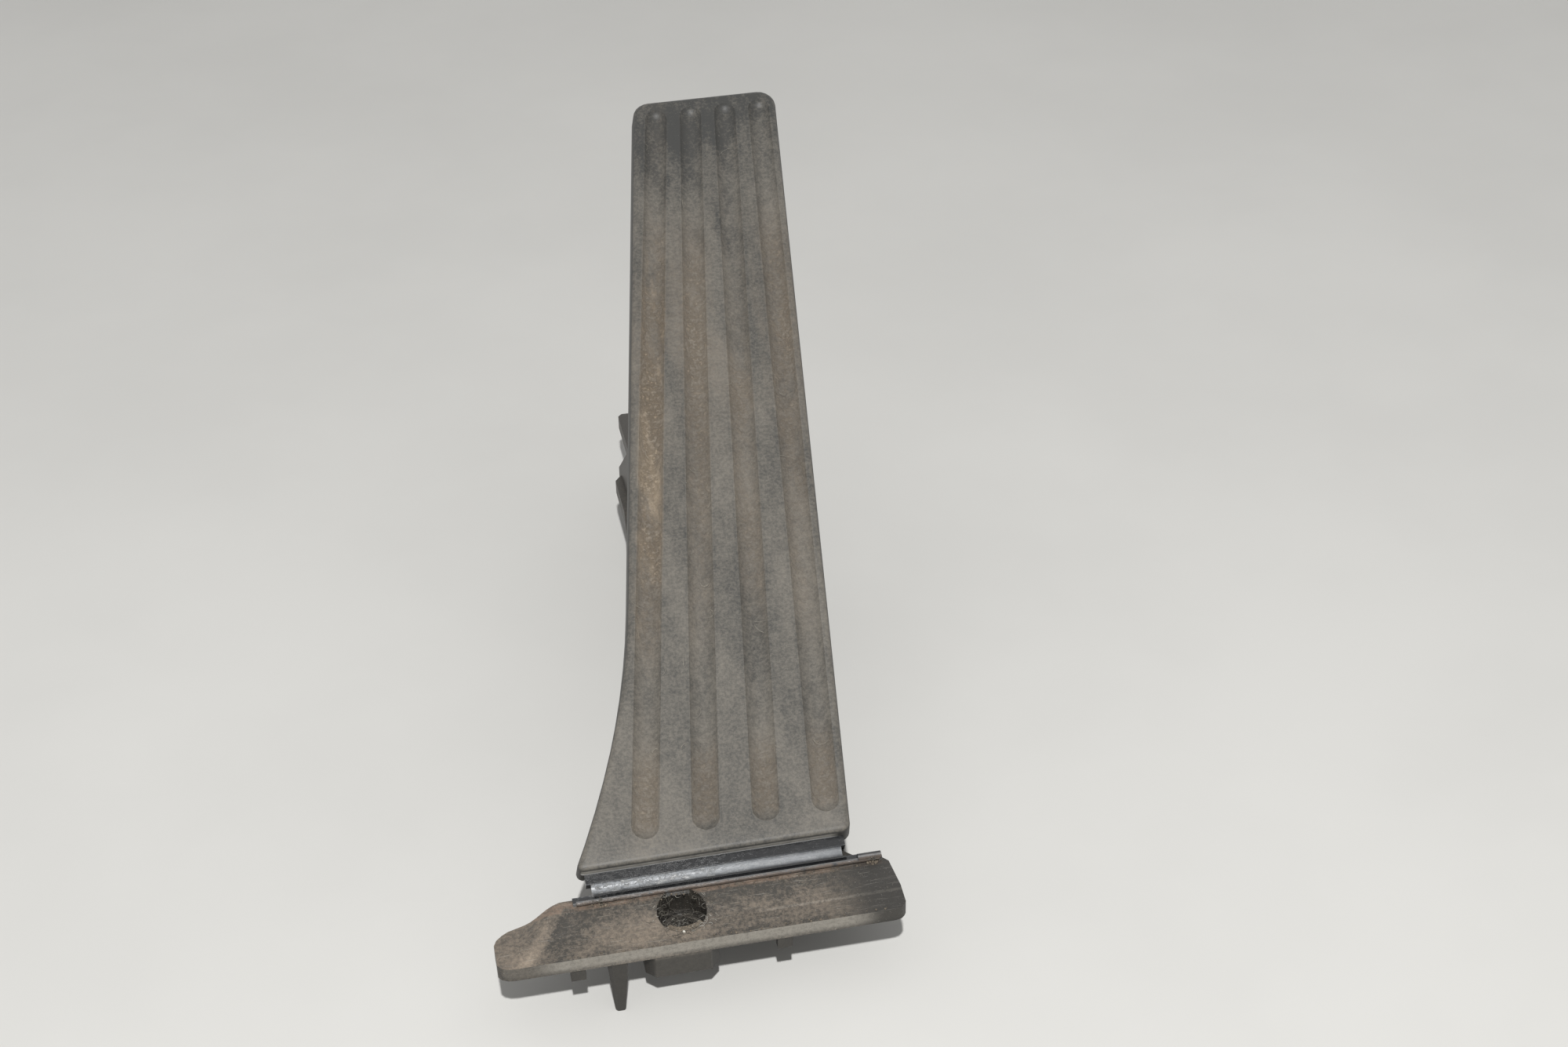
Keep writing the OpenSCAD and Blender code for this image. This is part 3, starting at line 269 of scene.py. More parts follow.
def between(tree, value, start, full, fall, end):
    """A mask that rises as the value goes from start to full and falls again from fall to end."""
    return add(tree, TIMES, add(tree, FADE, value, start, full), add(tree, FADE, value, end, fall))


def patches(tree, where, across, detail, grain, *fade):
    """Noise about that many millimetres across, faded between two of its values."""
    return add(tree, FADE, add(tree, NOISE, where, 1 / across, detail, grain), *fade)


def layered(tree, base, *layers):
    """The base colour under layers, each a mask, how well it covers and its sRGB tone."""
    for mask, cover, tone in layers:
        base = add(tree, MIX, add(tree, TIMES, mask, cover), base, colour(tone))
    return base


# Materials, each named for what the real one is and how its surface was made


def dusty_plate_nylon(look):
    """Glass-filled nylon, moulded with a fine grain: dull charcoal, grey with dust, soil in its flutes."""
    material, tree, shader, _ = surface("glass_filled_nylon_moulded_dusty_plate")
    turned = (REST_ANGLE, 0, 0)
    place = add(tree, COORDINATES).node.outputs["Object"]
    plate = add(tree, PLACE, place, HINGE, turned, [MM] * 3, vector_type="TEXTURE")
    # x runs along the hinge, s up the plate and n out of its top, all in millimetres
    x, s, n = add(tree, SPLIT, plate).node.outputs
    # lane counts the flutes from 0 at the left, and aside is the distance from the nearest one's middle
    along = add(tree, MINUS, s, FLUTE_FOOT)
    first = add(tree, SCALED, along, FLUTE_LEAN, FIRST_FLUTE)
    pitch = add(tree, SCALED, along, PITCH_CHANGE, FLUTE_PITCH)
    lane = add(tree, OVER, add(tree, MINUS, x, first), pitch)
    off = add(tree, MINUS, add(tree, FRACTION, add(tree, PLUS, lane, 0.5)), 0.5)
    aside = add(tree, TIMES, add(tree, SIZE, off), pitch)
    lanes = between(tree, lane, -0.45, -0.3, 3.3, 3.45)
    within = add(tree, TIMES, between(tree, s, 10.5, 14, 240, 244), lanes)
    flute = add(tree, TIMES, add(tree, FADE, aside, 3.9, 2.9), within)
    flute_lip_shade = add(tree, TIMES, between(tree, aside, 3.3, 3.8, 4.1, 4.7), within)
    # Film of dust: thinner at the top, which also paints as shade the weaker light up there, blotched at 17
    # to 50 mm, mottled at 4 mm and specked at 1 mm, and bare in patches near the top, where the driver's sole
    # rubs
    smeared = add(tree, PLACE, plate, None, None, (1, 0.35, 1))
    mottle = add(tree, NOISE, plate, 1 / 4, 7, 0.8)
    bare = add(tree, TIMES, patches(tree, smeared, 11, 3, 0.5, 0.5, 0.62), add(tree, FADE, s, 172, 205))
    film = add(tree, FADE, s, 195, 238, look.film * 0.93, look.film * 0.27)
    for more in (
        patches(tree, smeared, 17, 4, 0.6, 0.32, 0.68, -0.16, 0.13),
        add(tree, FADE, mottle, 0.3, 0.7, -0.12, 0.12),
        patches(tree, plate, 0.9, 3, 0.8, 0.38, 0.64, -0.12, 0.14),
        add(tree, TIMES, bare, -0.2),
    ):
        film = add(tree, PLUS, film, more)
    # The flutes' lips lose a little film: painted shade along the flutes' edges
    film = add(tree, PLUS, film, add(tree, TIMES, flute_lip_shade, -0.05), use_clamp=True)
    # Soil: in the flutes, in bands along them, and stuck in clumps of a few millimetres
    drawn = add(tree, PLACE, plate, None, None, (0.07, 0.02, 0))
    band = patches(tree, drawn, 1, 3, 0.6, 0.36, 0.6)
    clump = patches(tree, plate, 1.6, 7, 0.8, 0.4, 0.62)
    middle = add(tree, TIMES, add(tree, FADE, s, 50, 95, 0.05, 1), add(tree, FADE, s, 212, 165, 0.05, 1))
    soil = add(tree, TIMES, flute, add(tree, TIMES, add(tree, SCALED, band, 0.65, 0.35), middle))
    # The flute at the left holds more than the others, and their lower ends hold some too
    soil = add(tree, TIMES, soil, add(tree, FADE, lane, 0.4, 0.7, 1.15, 0.5))
    tips = add(tree, TIMES, flute, between(tree, s, 11, 16, 26, 40))
    soil = add(tree, PLUS, soil, add(tree, TIMES, tips, 0.5))
    # Some is rubbed across the ridges in the upper half
    rubbed = add(tree, TIMES, between(tree, s, 110, 160, 180, 215), band)
    soil = add(tree, PLUS, soil, add(tree, TIMES, rubbed, 0.3))
    soil = add(tree, TIMES, soil, add(tree, SCALED, clump, 0.55, 0.45))
    soil = add(tree, TIMES, soil, look.soiling, use_clamp=True)
    # The left flute's soil is rubbed bright in streaks
    streaks = add(tree, TIMES, patches(tree, drawn, 1.4, 5, 0.7, 0.46, 0.6), middle)
    streaks = add(tree, TIMES, streaks, between(tree, lane, -0.4, -0.1, 0.15, 0.32))
    # Pale grains caught all over, under a millimetre across
    grain = patches(tree, plate, 0.75, 2, 0.9, 0.69, 0.76)
    # The turned-down rim is painted dark with the bare nylon, as shade: it faces away from the plate's top
    outward = (0.0, -math.sin(REST_ANGLE), math.cos(REST_ANGLE))
    topward = add(tree, DOT, add(tree, GEOMETRY).node.outputs["Normal"], outward)
    side = add(tree, TIMES, add(tree, FADE, topward, 0.75, 0.4), add(tree, FADE, n, -0.1, -0.5))
    # Dust has packed into the joint over the hinge's bar, and a pale line along the rim's lower edge is a
    # painted highlight
    front = add(
        tree, TIMES, add(tree, TIMES, side, add(tree, FADE, s, 5.2, 4.8)), add(tree, FADE, x, 31, 28)
    )
    packed = add(tree, TIMES, front, between(tree, n, -2.8, -2.5, -1.3, -0.9))
    packed = add(tree, TIMES, packed, add(tree, FADE, mottle, 0.3, 0.6, 0.55, 1.0))
    # The mask of that painted highlight
    worn = add(tree, TIMES, front, between(tree, n, -2.9, -2.7, -2.5, -2.35))
    raised = add(tree, BUMP, 1, 0.05 * MM, None, add(tree, NOISE, plate, 1 / 0.8, 3, 0.6))
    heaped = add(tree, PLUS, add(tree, TIMES, soil, clump), add(tree, TIMES, grain, 0.3))
    feed(shader, {
        "Base Color": layered(
            tree, add(tree, MIX, film, colour(look.nylon), colour(look.dust)),
            (soil, 1, look.soil),
            (streaks, 0.45, "B4A188"),
            (grain, 0.5, "B4B0A6"),
            # The rim's dark nylon is painted shade, and the near white line below the packed dust is a
            # painted highlight
            (side, 0.8, look.nylon),
            (packed, 0.8, "B2AEA6"),
            (worn, 0.9, "E2E2E0"),
        ),
        "Roughness": add(tree, FADE, film, 0.3, 1.0, 0.5, 0.78),
        "IOR": NYLON_IOR,
        "Specular IOR Level": 0.45,
        "Normal": add(tree, BUMP, 1, 0.25 * MM, None, heaped, raised),
    })
    return material


def dusty_foot_nylon(look):
    """Glass-filled nylon, moulded: dull charcoal, tan dust on its upward faces and red-brown by the hinge."""
    material, tree, shader, where = surface("glass_filled_nylon_moulded_dusty_foot")
    x, y, z = hinge_place(tree, where)
    up = facing(tree)["Z"]
    top = add(tree, FADE, up, 0.1, 0.85)
    front = add(tree, FADE, y, 6, -2)
    mottle = add(tree, NOISE, where, 1 / 1.1, 6, 0.8)
    # Thick on the lobe and below the crease, thin by the hinge
    fore = add(
        tree, TIMES, add(tree, FADE, y, -6.5, -14.5, 0.04, 0.34), add(tree, FADE, y, -19.6, -18.2, 0.6, 1)
    )
    lobe = add(tree, FADE, x, -44, -49)
    dust = add(tree, MOST, fore, add(tree, TIMES, lobe, 0.42))
    # A painted highlight follows the fold at the foot of the ramp up to the lip, and painted shade darkens
    # the top beside it
    fold_light_offset = add(tree, MINUS, x, add(tree, SCALED, y, 0.73, -39.5))
    dust = add(tree, PLUS, dust, add(tree, TIMES, between(tree, fold_light_offset, -3.4, -1, 0.6, 2), 0.22))
    dust = add(tree, TIMES, dust, add(tree, SCALED, between(tree, fold_light_offset, 1, 3, 8, 15), -0.45, 1.0))
    dust = add(tree, TIMES, dust, add(tree, SCALED, top, 0.6, 0.4))
    dust = add(tree, PLUS, dust, patches(tree, where, 14, 5, 0.6, 0.3, 0.7, -0.16, 0.14))
    dust = add(tree, PLUS, dust, add(tree, FADE, mottle, 0.36, 0.64, -0.22, 0.2))
    # In the recess it clings only to the top of the back wall, and below that the recess is painted dark as
    # shade
    recess = add(tree, POWER, add(tree, MINUS, x, RECESS_X), 2)
    recess = add(tree, PLUS, recess, add(tree, POWER, add(tree, MINUS, y, RECESS_Y), 2))
    recess = add(tree, FADE, add(tree, ROOT, recess), 6.6, 6.1)
    deep = add(tree, FADE, add(tree, SCALED, mottle, 2.0, z), 25.2, 24.2, 0.4, 1.0)
    recess = add(tree, TIMES, recess, deep)
    # The right end and what hangs low keep little dust, darkening them as painted shade, and the lobe's front
    # is nearly clean
    for share in (
        add(tree, FADE, x, 37, 16, 0.05, 1.0),
        add(tree, FADE, z, 16, 17.5, 0.12, 1.0),
        add(tree, SCALED, add(tree, TIMES, lobe, add(tree, FADE, up, 0.4, 0.15)), -0.7, 1.0),
        add(tree, SCALED, recess, -0.85, 1.0),
    ):
        dust = add(tree, TIMES, dust, share)
    dust = add(tree, TIMES, dust, add(tree, SCALED, front, 0.7, 0.3), use_clamp=True)
    # The front band is scuffed grey, apart from its left end, which stays darker, and its right end and lower
    # edge, which stay dark as painted shade
    band = add(tree, TIMES, add(tree, FADE, up, 0.35, 0.1), add(tree, FADE, y, -19.2, -19.8))
    for share in (
        add(tree, FADE, x, -54, -44, 0.25, 1.0),
        add(tree, FADE, x, 37, 31, 0.15, 1.0),
        add(tree, FADE, z, 17.4, 19.4, 0.25, 1.0),
        add(tree, FADE, mottle, 0.3, 0.6, 0.65, 1.1),
    ):
        band = add(tree, TIMES, band, share)
    # Red-brown dust lies in a line along the lip, in front of the hinge
    line = between(tree, y, -6.5, -5.9, -4, -3)
    for share in (
        add(tree, FADE, x, 34, 10, 0.4, 1.0),
        add(tree, FADE, up, 0.5, 0.9),
        patches(tree, where, 4, 5, 0.8, 0.36, 0.6),
        add(tree, MINUS, 1.0, recess),
    ):
        line = add(tree, TIMES, line, share)
    # What hangs below and the right end are painted darker than the bare nylon, as shade
    clean = add(tree, MOST, add(tree, FADE, z, 17.2, 16, 0.0, 0.55), add(tree, FADE, x, 26, 36, 0.0, 0.5))
    # Pale specks, long scratches, finer ones across them, and a painted highlight along the crease to the
    # right end
    grit = patches(tree, where, 0.6, 2, 0.9, 0.6, 0.72)
    long_way = add(tree, PLACE, where, None, (0, 0, 0.3), (0.13, 2.4, 1))
    across = add(tree, PLACE, where, None, (0, 0, -0.85), (0.1, 2.8, 0.1))
    crease = add(tree, TIMES, between(tree, y, -14.7, -14.1, -13.9, -13.4), add(tree, FADE, x, 2, 12))
    for mask, share in (
        (patches(tree, long_way, 1, 2, 0.6, 0.62, 0.7), add(tree, TIMES, top, 0.5)),
        (patches(tree, across, 1, 2, 0.6, 0.63, 0.69), add(tree, FADE, x, -48, -38, 0, 0.6)),
        (crease, add(tree, FADE, mottle, 0.3, 0.55, 0.0, 0.5)),
    ):
        grit = add(tree, MOST, grit, add(tree, TIMES, mask, share))
    for share in (front, add(tree, FADE, z, 16, 17.5), add(tree, FADE, x, 38, 22, 0.4, 1.0)):
        grit = add(tree, TIMES, grit, share)
    raised = add(tree, BUMP, 1, 0.06 * MM, None, add(tree, NOISE, where, 1 / 0.8, 3, 0.6))
    heaped = add(tree, PLUS, add(tree, TIMES, dust, mottle), grit)
    feed(shader, {
        "Base Color": layered(
            tree, add(tree, MIX, dust, colour(look.nylon), colour(look.dust)),
            (band, 0.85, look.scuff),
            (line, 0.6, look.rust),
            # Painted shade: the recess's walls, then what hangs low and the right end
            (recess, 0.6, "1B1A19"),
            (clean, 1, "161615"),
            (grit, 0.42, "B9B2A6"),
        ),
        "Roughness": add(tree, FADE, dust, 0.1, 0.9, 0.48, 0.86),
        "IOR": NYLON_IOR,
        "Specular IOR Level": 0.45,
        "Normal": add(tree, BUMP, 1, 0.12 * MM, None, heaped, raised),
    })
    return material


def moulded_nylon(look):
    """Glass-filled nylon, moulded and sheltered by the plate: near black and satin, with a haze of dust."""
    material, tree, shader, where = surface("glass_filled_nylon_moulded_sheltered")
    up = facing(tree)["Z"]
    haze = add(tree, TIMES, add(tree, FADE, up, 0.2, 1.0), patches(tree, where, 9, 5, 0.55, 0.35, 0.65))
    feed(shader, {
        "Base Color": add(tree, MIX, add(tree, TIMES, haze, 0.4), colour("353533"), colour(look.dust)),
        "Roughness": add(tree, FADE, haze, 0, 1, 0.42, 0.7),
        "IOR": NYLON_IOR,
        "Normal": add(tree, BUMP, 1, 0.05 * MM, None, add(tree, NOISE, where, 1 / 0.7, 3, 0.6)),
    })
    return material


def hinge_elastomer(look):
    """Polyester elastomer, moulded in a polished tool: dark, glossy and bluish, grit stuck to its left."""
    material, tree, shader, where = surface("polyester_elastomer_moulded_glossy")
    x, y, _ = hinge_place(tree, where)
    _, back, up = facing(tree)
    # The pale sheet keeps off the bar behind the trough but for its front edge, and keeps off that edge at
    # the right
    edge = add(tree, TIMES, add(tree, FADE, y, 2.0, 2.7), add(tree, FADE, x, -8, 30, 0.0, 0.75))
    lit_back_wall = add(tree, FADE, back, -0.12, -0.5)
    for share in (
        add(tree, FADE, up, -0.1, 0.25),
        between(tree, y, -2.6, -1.2, 2.85, 3.25),
        add(tree, MINUS, 1.0, edge),
    ):
        lit_back_wall = add(tree, TIMES, lit_back_wall, share)
    left = add(tree, FADE, x, 10, -22, 0.2, 1.0)
    stretched = add(tree, PLACE, where, None, None, (0.55, 1, 1))
    grit = add(tree, TIMES, patches(tree, stretched, 1.3, 5, 0.85, 0.48, 0.62), left)
    grit = add(tree, TIMES, grit, add(tree, SCALED, lit_back_wall, 0.7, 0.3))
    # A pale sheet on the trough's back wall, which faces the driver and the lamp: partly dust and partly
    # painted light and reflection, with dark pits at the left
    bloom = patches(tree, stretched, 9, 4, 0.55, 0.3, 0.7)
    film = add(tree, SCALED, bloom, 0.25, add(tree, FADE, x, 20, -20, 0.44, 0.68))
    film = add(tree, TIMES, film, add(tree, SCALED, lit_back_wall, 0.97, 0.03))
    pits = add(tree, MINUS, patches(tree, stretched, 1, 4, 0.8, 0.36, 0.52), 1.0)
    film = add(tree, TIMES, film, add(tree, SCALED, pits, add(tree, TIMES, left, 0.7), 1.0))
    # Red-brown dust begins on the flange, and the bar's back and the groove of the flange behind the bead are
    # painted dark as shade
    red = add(tree, TIMES, add(tree, FADE, y, -4.2, -4.9), patches(tree, where, 3, 5, 0.8, 0.42, 0.6))
    dark = add(tree, MOST, add(tree, FADE, y, 2.95, 3.3), between(tree, y, -4.7, -4.3, -3.2, -2.8))
    # A painted highlight runs along the bead's crest, and tan dust lies in front of it
    bead_highlight = between(tree, y, -5.2, -5.0, -4.8, -4.55)
    drift = add(tree, TIMES, add(tree, FADE, y, -5.0, -5.25), patches(tree, where, 2, 4, 0.8, 0.35, 0.5))
    raised = add(tree, BUMP, 1, 0.1 * MM, None, add(tree, NOISE, stretched, 1 / 2.6, 3, 0.6))
    feed(shader, {
        "Base Color": layered(
            tree, add(tree, MIX, film, colour(look.elastomer), colour("A4A7AA")),
            (grit, 0.95, look.grit),
            (red, 0.45, "6A5D54"),
            # Painted shade, then the painted highlight on the bead's crest
            (dark, 0.75, "141415"),
            (bead_highlight, 0.24, "B4B4B2"),
            (drift, 0.5, "6A5C50"),
        ),
        "Roughness": add(tree, FADE, grit, 0, 0.8, look.gloss, 0.62),
        "IOR": 1.54,
        "Specular IOR Level": 0.4,
        "Coat Weight": 0.12,
        "Coat Roughness": 0.12,
        "Normal": add(tree, BUMP, 1, 0.16 * MM, None, grit, raised),
    })
    return material


def zinc_plated_steel():
    """Steel, turned and zinc plated: pale blue-grey with a slight bloom and fine turning marks."""
    material, tree, shader, where = surface("steel_turned_zinc_plated")
    bloom = add(tree, NOISE, where, 1 / 2.5, 5, 0.7)
    rings = add(tree, ("TexWave", {"bands_direction": "X"}), where, 0.5, 1.5, 2.0).node.outputs["Fac"]
    feed(shader, {
        "Base Color": add(tree, MIX, add(tree, FADE, bloom, 0.3, 0.75), colour("B9BBBE"), colour("8F8D86")),
        "Roughness": add(tree, FADE, bloom, 0.3, 0.7, 0.28, 0.5),
        "Metallic": 1.0,
        "Normal": add(tree, BUMP, 1, 0.01 * MM, None, rings),
    })
    return material


def soiled_steel():
    """The lower sleeve's zinc plate under years of dust: dull brown-black with a few bright worn spots."""
    material, tree, shader, where = surface("steel_turned_zinc_plated_soiled")
    worn = patches(tree, where, 2.4, 4, 0.7, 0.6, 0.68)
    soil = add(tree, NOISE, where, 1 / 0.9, 5, 0.75)
    dull = add(tree, MIX, add(tree, FADE, soil, 0.3, 0.7), colour("2B2926"), colour("4A453E"))
    feed(shader, {
        "Base Color": add(tree, MIX, worn, dull, colour("A9A8A4")),
        "Metallic": worn,
        "Roughness": add(tree, FADE, worn, 0, 1, 0.9, 0.35),
        "Normal": add(tree, BUMP, 1, 0.25 * MM, None, soil),
    })
    return material


def two_tone(name, pattern, fade, tones, rough, relief=0.0, crisp=False, **own):
    """A finish between two sRGB tones, which follow noise given as millimetres across, detail and roughness.

    fade is where the noise turns from the first tone to the second. Roughness and relief, in millimetres,
    follow the noise, or its faded patches where crisp. own holds the shader's own values.
    """
    material, tree, shader, where = surface(name)
    across, detail, grain = pattern
    driver = add(tree, NOISE, where, 1 / across, detail, grain)
    mask = add(tree, FADE, driver, *fade)
    reach = (0.3, 0.7)
    if crisp:
        driver, reach = mask, (0, 1)
    feed(shader, {"Base Color": add(tree, MIX, mask, *map(colour, tones)), **own})
    if rough[0] == rough[1]:
        feed(shader, {"Roughness": rough[0]})
    else:
        feed(shader, {"Roughness": add(tree, FADE, driver, *reach, *rough)})
    if relief:
        feed(shader, {"Normal": add(tree, BUMP, 1, relief * MM, None, driver)})
    return material


def dry_soil(look):
    """Dry soil in crumbs, broken and rough: tan with darker grains."""
    tones = ("5B554C", look.crumb)
    own = {"Specular IOR Level": 0.2}
    return two_tone("soil_dry_crumbs", (0.5, 4, 0.7), (0.3, 0.7), tones, (0.95, 0.95), 0.15, True, **own)


def drawn_spring_steel():
    """Spring steel, drawn and oil tempered: dark grey-brown with a low sheen, mottled paler."""
    tones = ("6B6A68", "4A4540")
    return two_tone(
        "spring_steel_drawn_oil_tempered", (0.9, 4, 0.7), (0.35, 0.7), tones, (0.3, 0.48), 0.015, Metallic=1.0
    )


def sintered_bronze():
    """Bronze, sintered and oiled: brown-gold with fine pores."""
    tones = ("A8824E", "6E5230")
    return two_tone(
        "bronze_sintered_oiled", (0.5, 3, 0.8), (0.5, 0.62), tones, (0.35, 0.6), -0.03, True, Metallic=1.0
    )


def sintered_ferrite():
    """Ferrite, sintered and ground: dark blue-grey stone with a faint crystalline mottle."""
    tones = ("2B2C30", "45474D")
    return two_tone("ferrite_sintered_ground", (0.6, 4, 0.8), (0.35, 0.7), tones, (0.4, 0.62), 0.02)


def turned_acetal():
    """Acetal, moulded and turned: warm white and waxy, with grey smudges."""
    tones = ("DEDACE", "9C988C")
    own = {"IOR": 1.48, "Subsurface Weight": 0.05}
    return two_tone("acetal_turned", (1.8, 4, 0.7), (0.45, 0.75), tones, (0.28, 0.42), 0.02, **own)


def friction_lining():
    """Friction lining, pressed fibre and resin: brown, flecked and matt."""
    tones = ("5E4A35", "9A8360")
    return two_tone(
        "friction_lining_pressed_fibre", (0.7, 4, 0.9), (0.48, 0.6), tones, (0.85, 0.7), 0.04, True
    )


def board_laminate():
    """Glass-epoxy laminate under solder mask: deep green and glossy, the copper showing paler in a grid."""
    material, tree, shader, where = surface("glass_epoxy_laminate_solder_mask")
    turned = add(tree, PLACE, where, None, (0, math.pi / 2, 0))
    tracks = add(tree, ("TexBrick", {}), turned, None, None, None, 0.35, 0.02).node.outputs["Fac"]
    feed(shader, {
        "Base Color": add(tree, MIX, tracks, colour("12472B"), colour("2C6B43")),
        "Roughness": patches(tree, where, 3, 4, 0.55, 0.3, 0.7, 0.22, 0.34),
        "Normal": add(tree, BUMP, 1, 0.03 * MM, None, tracks),
    })
    return material


def chip_epoxy():
    """Epoxy moulding compound: black, matt and slightly speckled by its silica."""
    tones = ("1E1E1F", "3A3A3B")
    return two_tone("epoxy_moulding_compound", (0.5, 3, 0.8), (0.5, 0.75), tones, (0.55, 0.7), 0.01)


def nitrile_rubber():
    """Nitrile rubber, moulded: matt black with a grey bloom."""
    tones = ("242423", "4B4A46")
    return two_tone("nitrile_rubber_moulded", (3.0, 5, 0.7), (0.45, 0.8), tones, (0.7, 0.88), 0.03)


def tinned_brass():
    """Brass strip, stamped and tin plated: pale gold-grey, silvery in patches."""
    tones = ("B7AE93", "C9C6BC")
    return two_tone(
        "brass_stamped_tinned", (1.4, 4, 0.7), (0.35, 0.7), tones, (0.22, 0.4), 0.008, Metallic=1.0
    )


def lint_fibre(look):
    """Hair and textile lint: thin, pale and dull."""
    tones = (look.fibre, "8A857A")
    return two_tone("lint_textile_fibre", (4.0, 2, 0.55), (0.35, 0.65), tones, (0.5, 0.7))


def dark_fluff():
    """Hair and fluff matted with soil: dull brown-grey, paler where a fibre is clean."""
    tones = ("59554D", "B5B2AA")
    return two_tone("hair_and_fluff_soiled", (3, 3, 0.6), (0.5, 0.68), tones, (0.7, 0.7))


def painted_panel(look):
    """Floor panel, painted: pale and even, with the faint mottle of a swept surface."""
    material, tree, shader, where = surface("floor_panel_painted")
    pale = colour(look.floor)
    darker = tuple([c * 0.955 for c in pale[:3]] + [1.0])
    feed(shader, {
        "Base Color": add(tree, MIX, patches(tree, where, 130, 4, 0.55, 0.3, 0.7), darker, pale),
        "Roughness": patches(tree, where, 9, 4, 0.55, 0.3, 0.7, 0.8, 0.9),
        "Specular IOR Level": 0.2,
    })
    return material


MATERIALS = {}


def finish_of(key, maker, *args):
    """The material of that key, made once."""
    if key not in MATERIALS:
        MATERIALS[key] = maker(*args)
    return MATERIALS[key]


# Shape tools


def show(name, mesh, material, body):
    """A new piece with its material, on its body."""
    piece = bpy.data.objects.new(name, mesh)
    bpy.context.scene.collection.objects.link(piece)
    mesh.materials.append(material)
    if body:
        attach(piece, body)
    return piece


def softened(node, name, material, body, edge, sharp=SHARP_ANGLE):
    """A copy of the node's solid with smooth faces and softened edges, which stands for the node."""
    model = bmesh.new()
    model.from_mesh(frame["nodes"][node].data)
    bmesh.ops.remove_doubles(model, verts=model.verts, dist=WELD)
    flat = math.radians(FLAT_ANGLE)
    bmesh.ops.dissolve_limit(model, angle_limit=flat, verts=model.verts, edges=model.edges)
    for face in model.faces:
        face.smooth = True
        face.material_index = 0
    for line in model.edges:
        line.smooth = line.calc_face_angle(0.0) < math.radians(sharp)
    mesh = bpy.data.meshes.new(name)
    model.to_mesh(mesh)
    model.free()
    if "custom_normal" in mesh.attributes:
        mesh.attributes.remove(mesh.attributes["custom_normal"])
    piece = show(name, mesh, material, body)
    if edge > 0:
        bevel = piece.modifiers.new("softened edges", "BEVEL")
        bevel.width = edge
        bevel.segments = 2
        bevel.limit_method = "ANGLE"
        bevel.angle_limit = math.radians(sharp)
        bevel.harden_normals = True
        bevel.use_clamp_overlap = True
    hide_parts(node)
    return piece


def tube(path, radius, sides, taper):
    """A closed tube along the path, which may taper to a hair's tip, as vertices and faces."""
    rings, faces = [], []
    count = len(path)
    side = None
    for i, point in enumerate(path):
        ahead = (path[min(i + 1, count - 1)] - path[max(i - 1, 0)]).normalized()
        if side is None:
            side = ahead.orthogonal().normalized()
        side = (side - ahead * side.dot(ahead)).normalized()
        up = ahead.cross(side)
        size = radius * (1 - 0.7 * i / (count - 1)) if taper else radius
        for k in range(sides):
            turn = 2 * math.pi * k / sides
            rings.append(point + (side * math.cos(turn) + up * math.sin(turn)) * size)
    for i in range(count - 1):
        for k in range(sides):
            a, b = i * sides + k, i * sides + (k + 1) % sides
            faces.append((a, b, b + sides, a + sides))
    faces.append(tuple(range(sides - 1, -1, -1)))
    faces.append(tuple(range((count - 1) * sides, count * sides)))
    return rings, faces


def tubes_mesh(name, paths, radius, sides, taper=False):
    """One mesh of a tube along each path."""
    vertices, faces = [], []
    for path in paths:
        ring, quads = tube(path, radius, sides, taper)
        faces += [tuple(v + len(vertices) for v in quad) for quad in quads]
        vertices += ring
    mesh = bpy.data.meshes.new(name)
    mesh.from_pydata([tuple(v) for v in vertices], [], faces)
    mesh.polygons.foreach_set("use_smooth", [True] * len(mesh.polygons))
    return mesh


def crumbs_mesh(name, places, chance):
    """Small broken lumps at those places, each with its size."""
    lumps = bmesh.new()
    for point, size in places:
        made = bmesh.ops.create_icosphere(lumps, subdivisions=1, radius=size)
        for vertex in made["verts"]:
            vertex.co = point + Vector([v * chance.uniform(0.65, 1.25) for v in vertex.co])
    mesh = bpy.data.meshes.new(name)
    lumps.to_mesh(mesh)
    lumps.free()
    return mesh


def foot_height(y):
    """Height of the foot's top above the table, in millimetres, at y from the hinge line."""
    front, depth, low, crease, crease_rise, lip_rise = -20.3, 17.3, 21.5, 0.375, 0.6, 2.9
    t = max(0.0, min(1.0, (y - front) / depth))
    if t < crease:
        return low + t / crease * crease_rise
    return low + crease_rise + (t - crease) / (1 - crease) * lip_rise


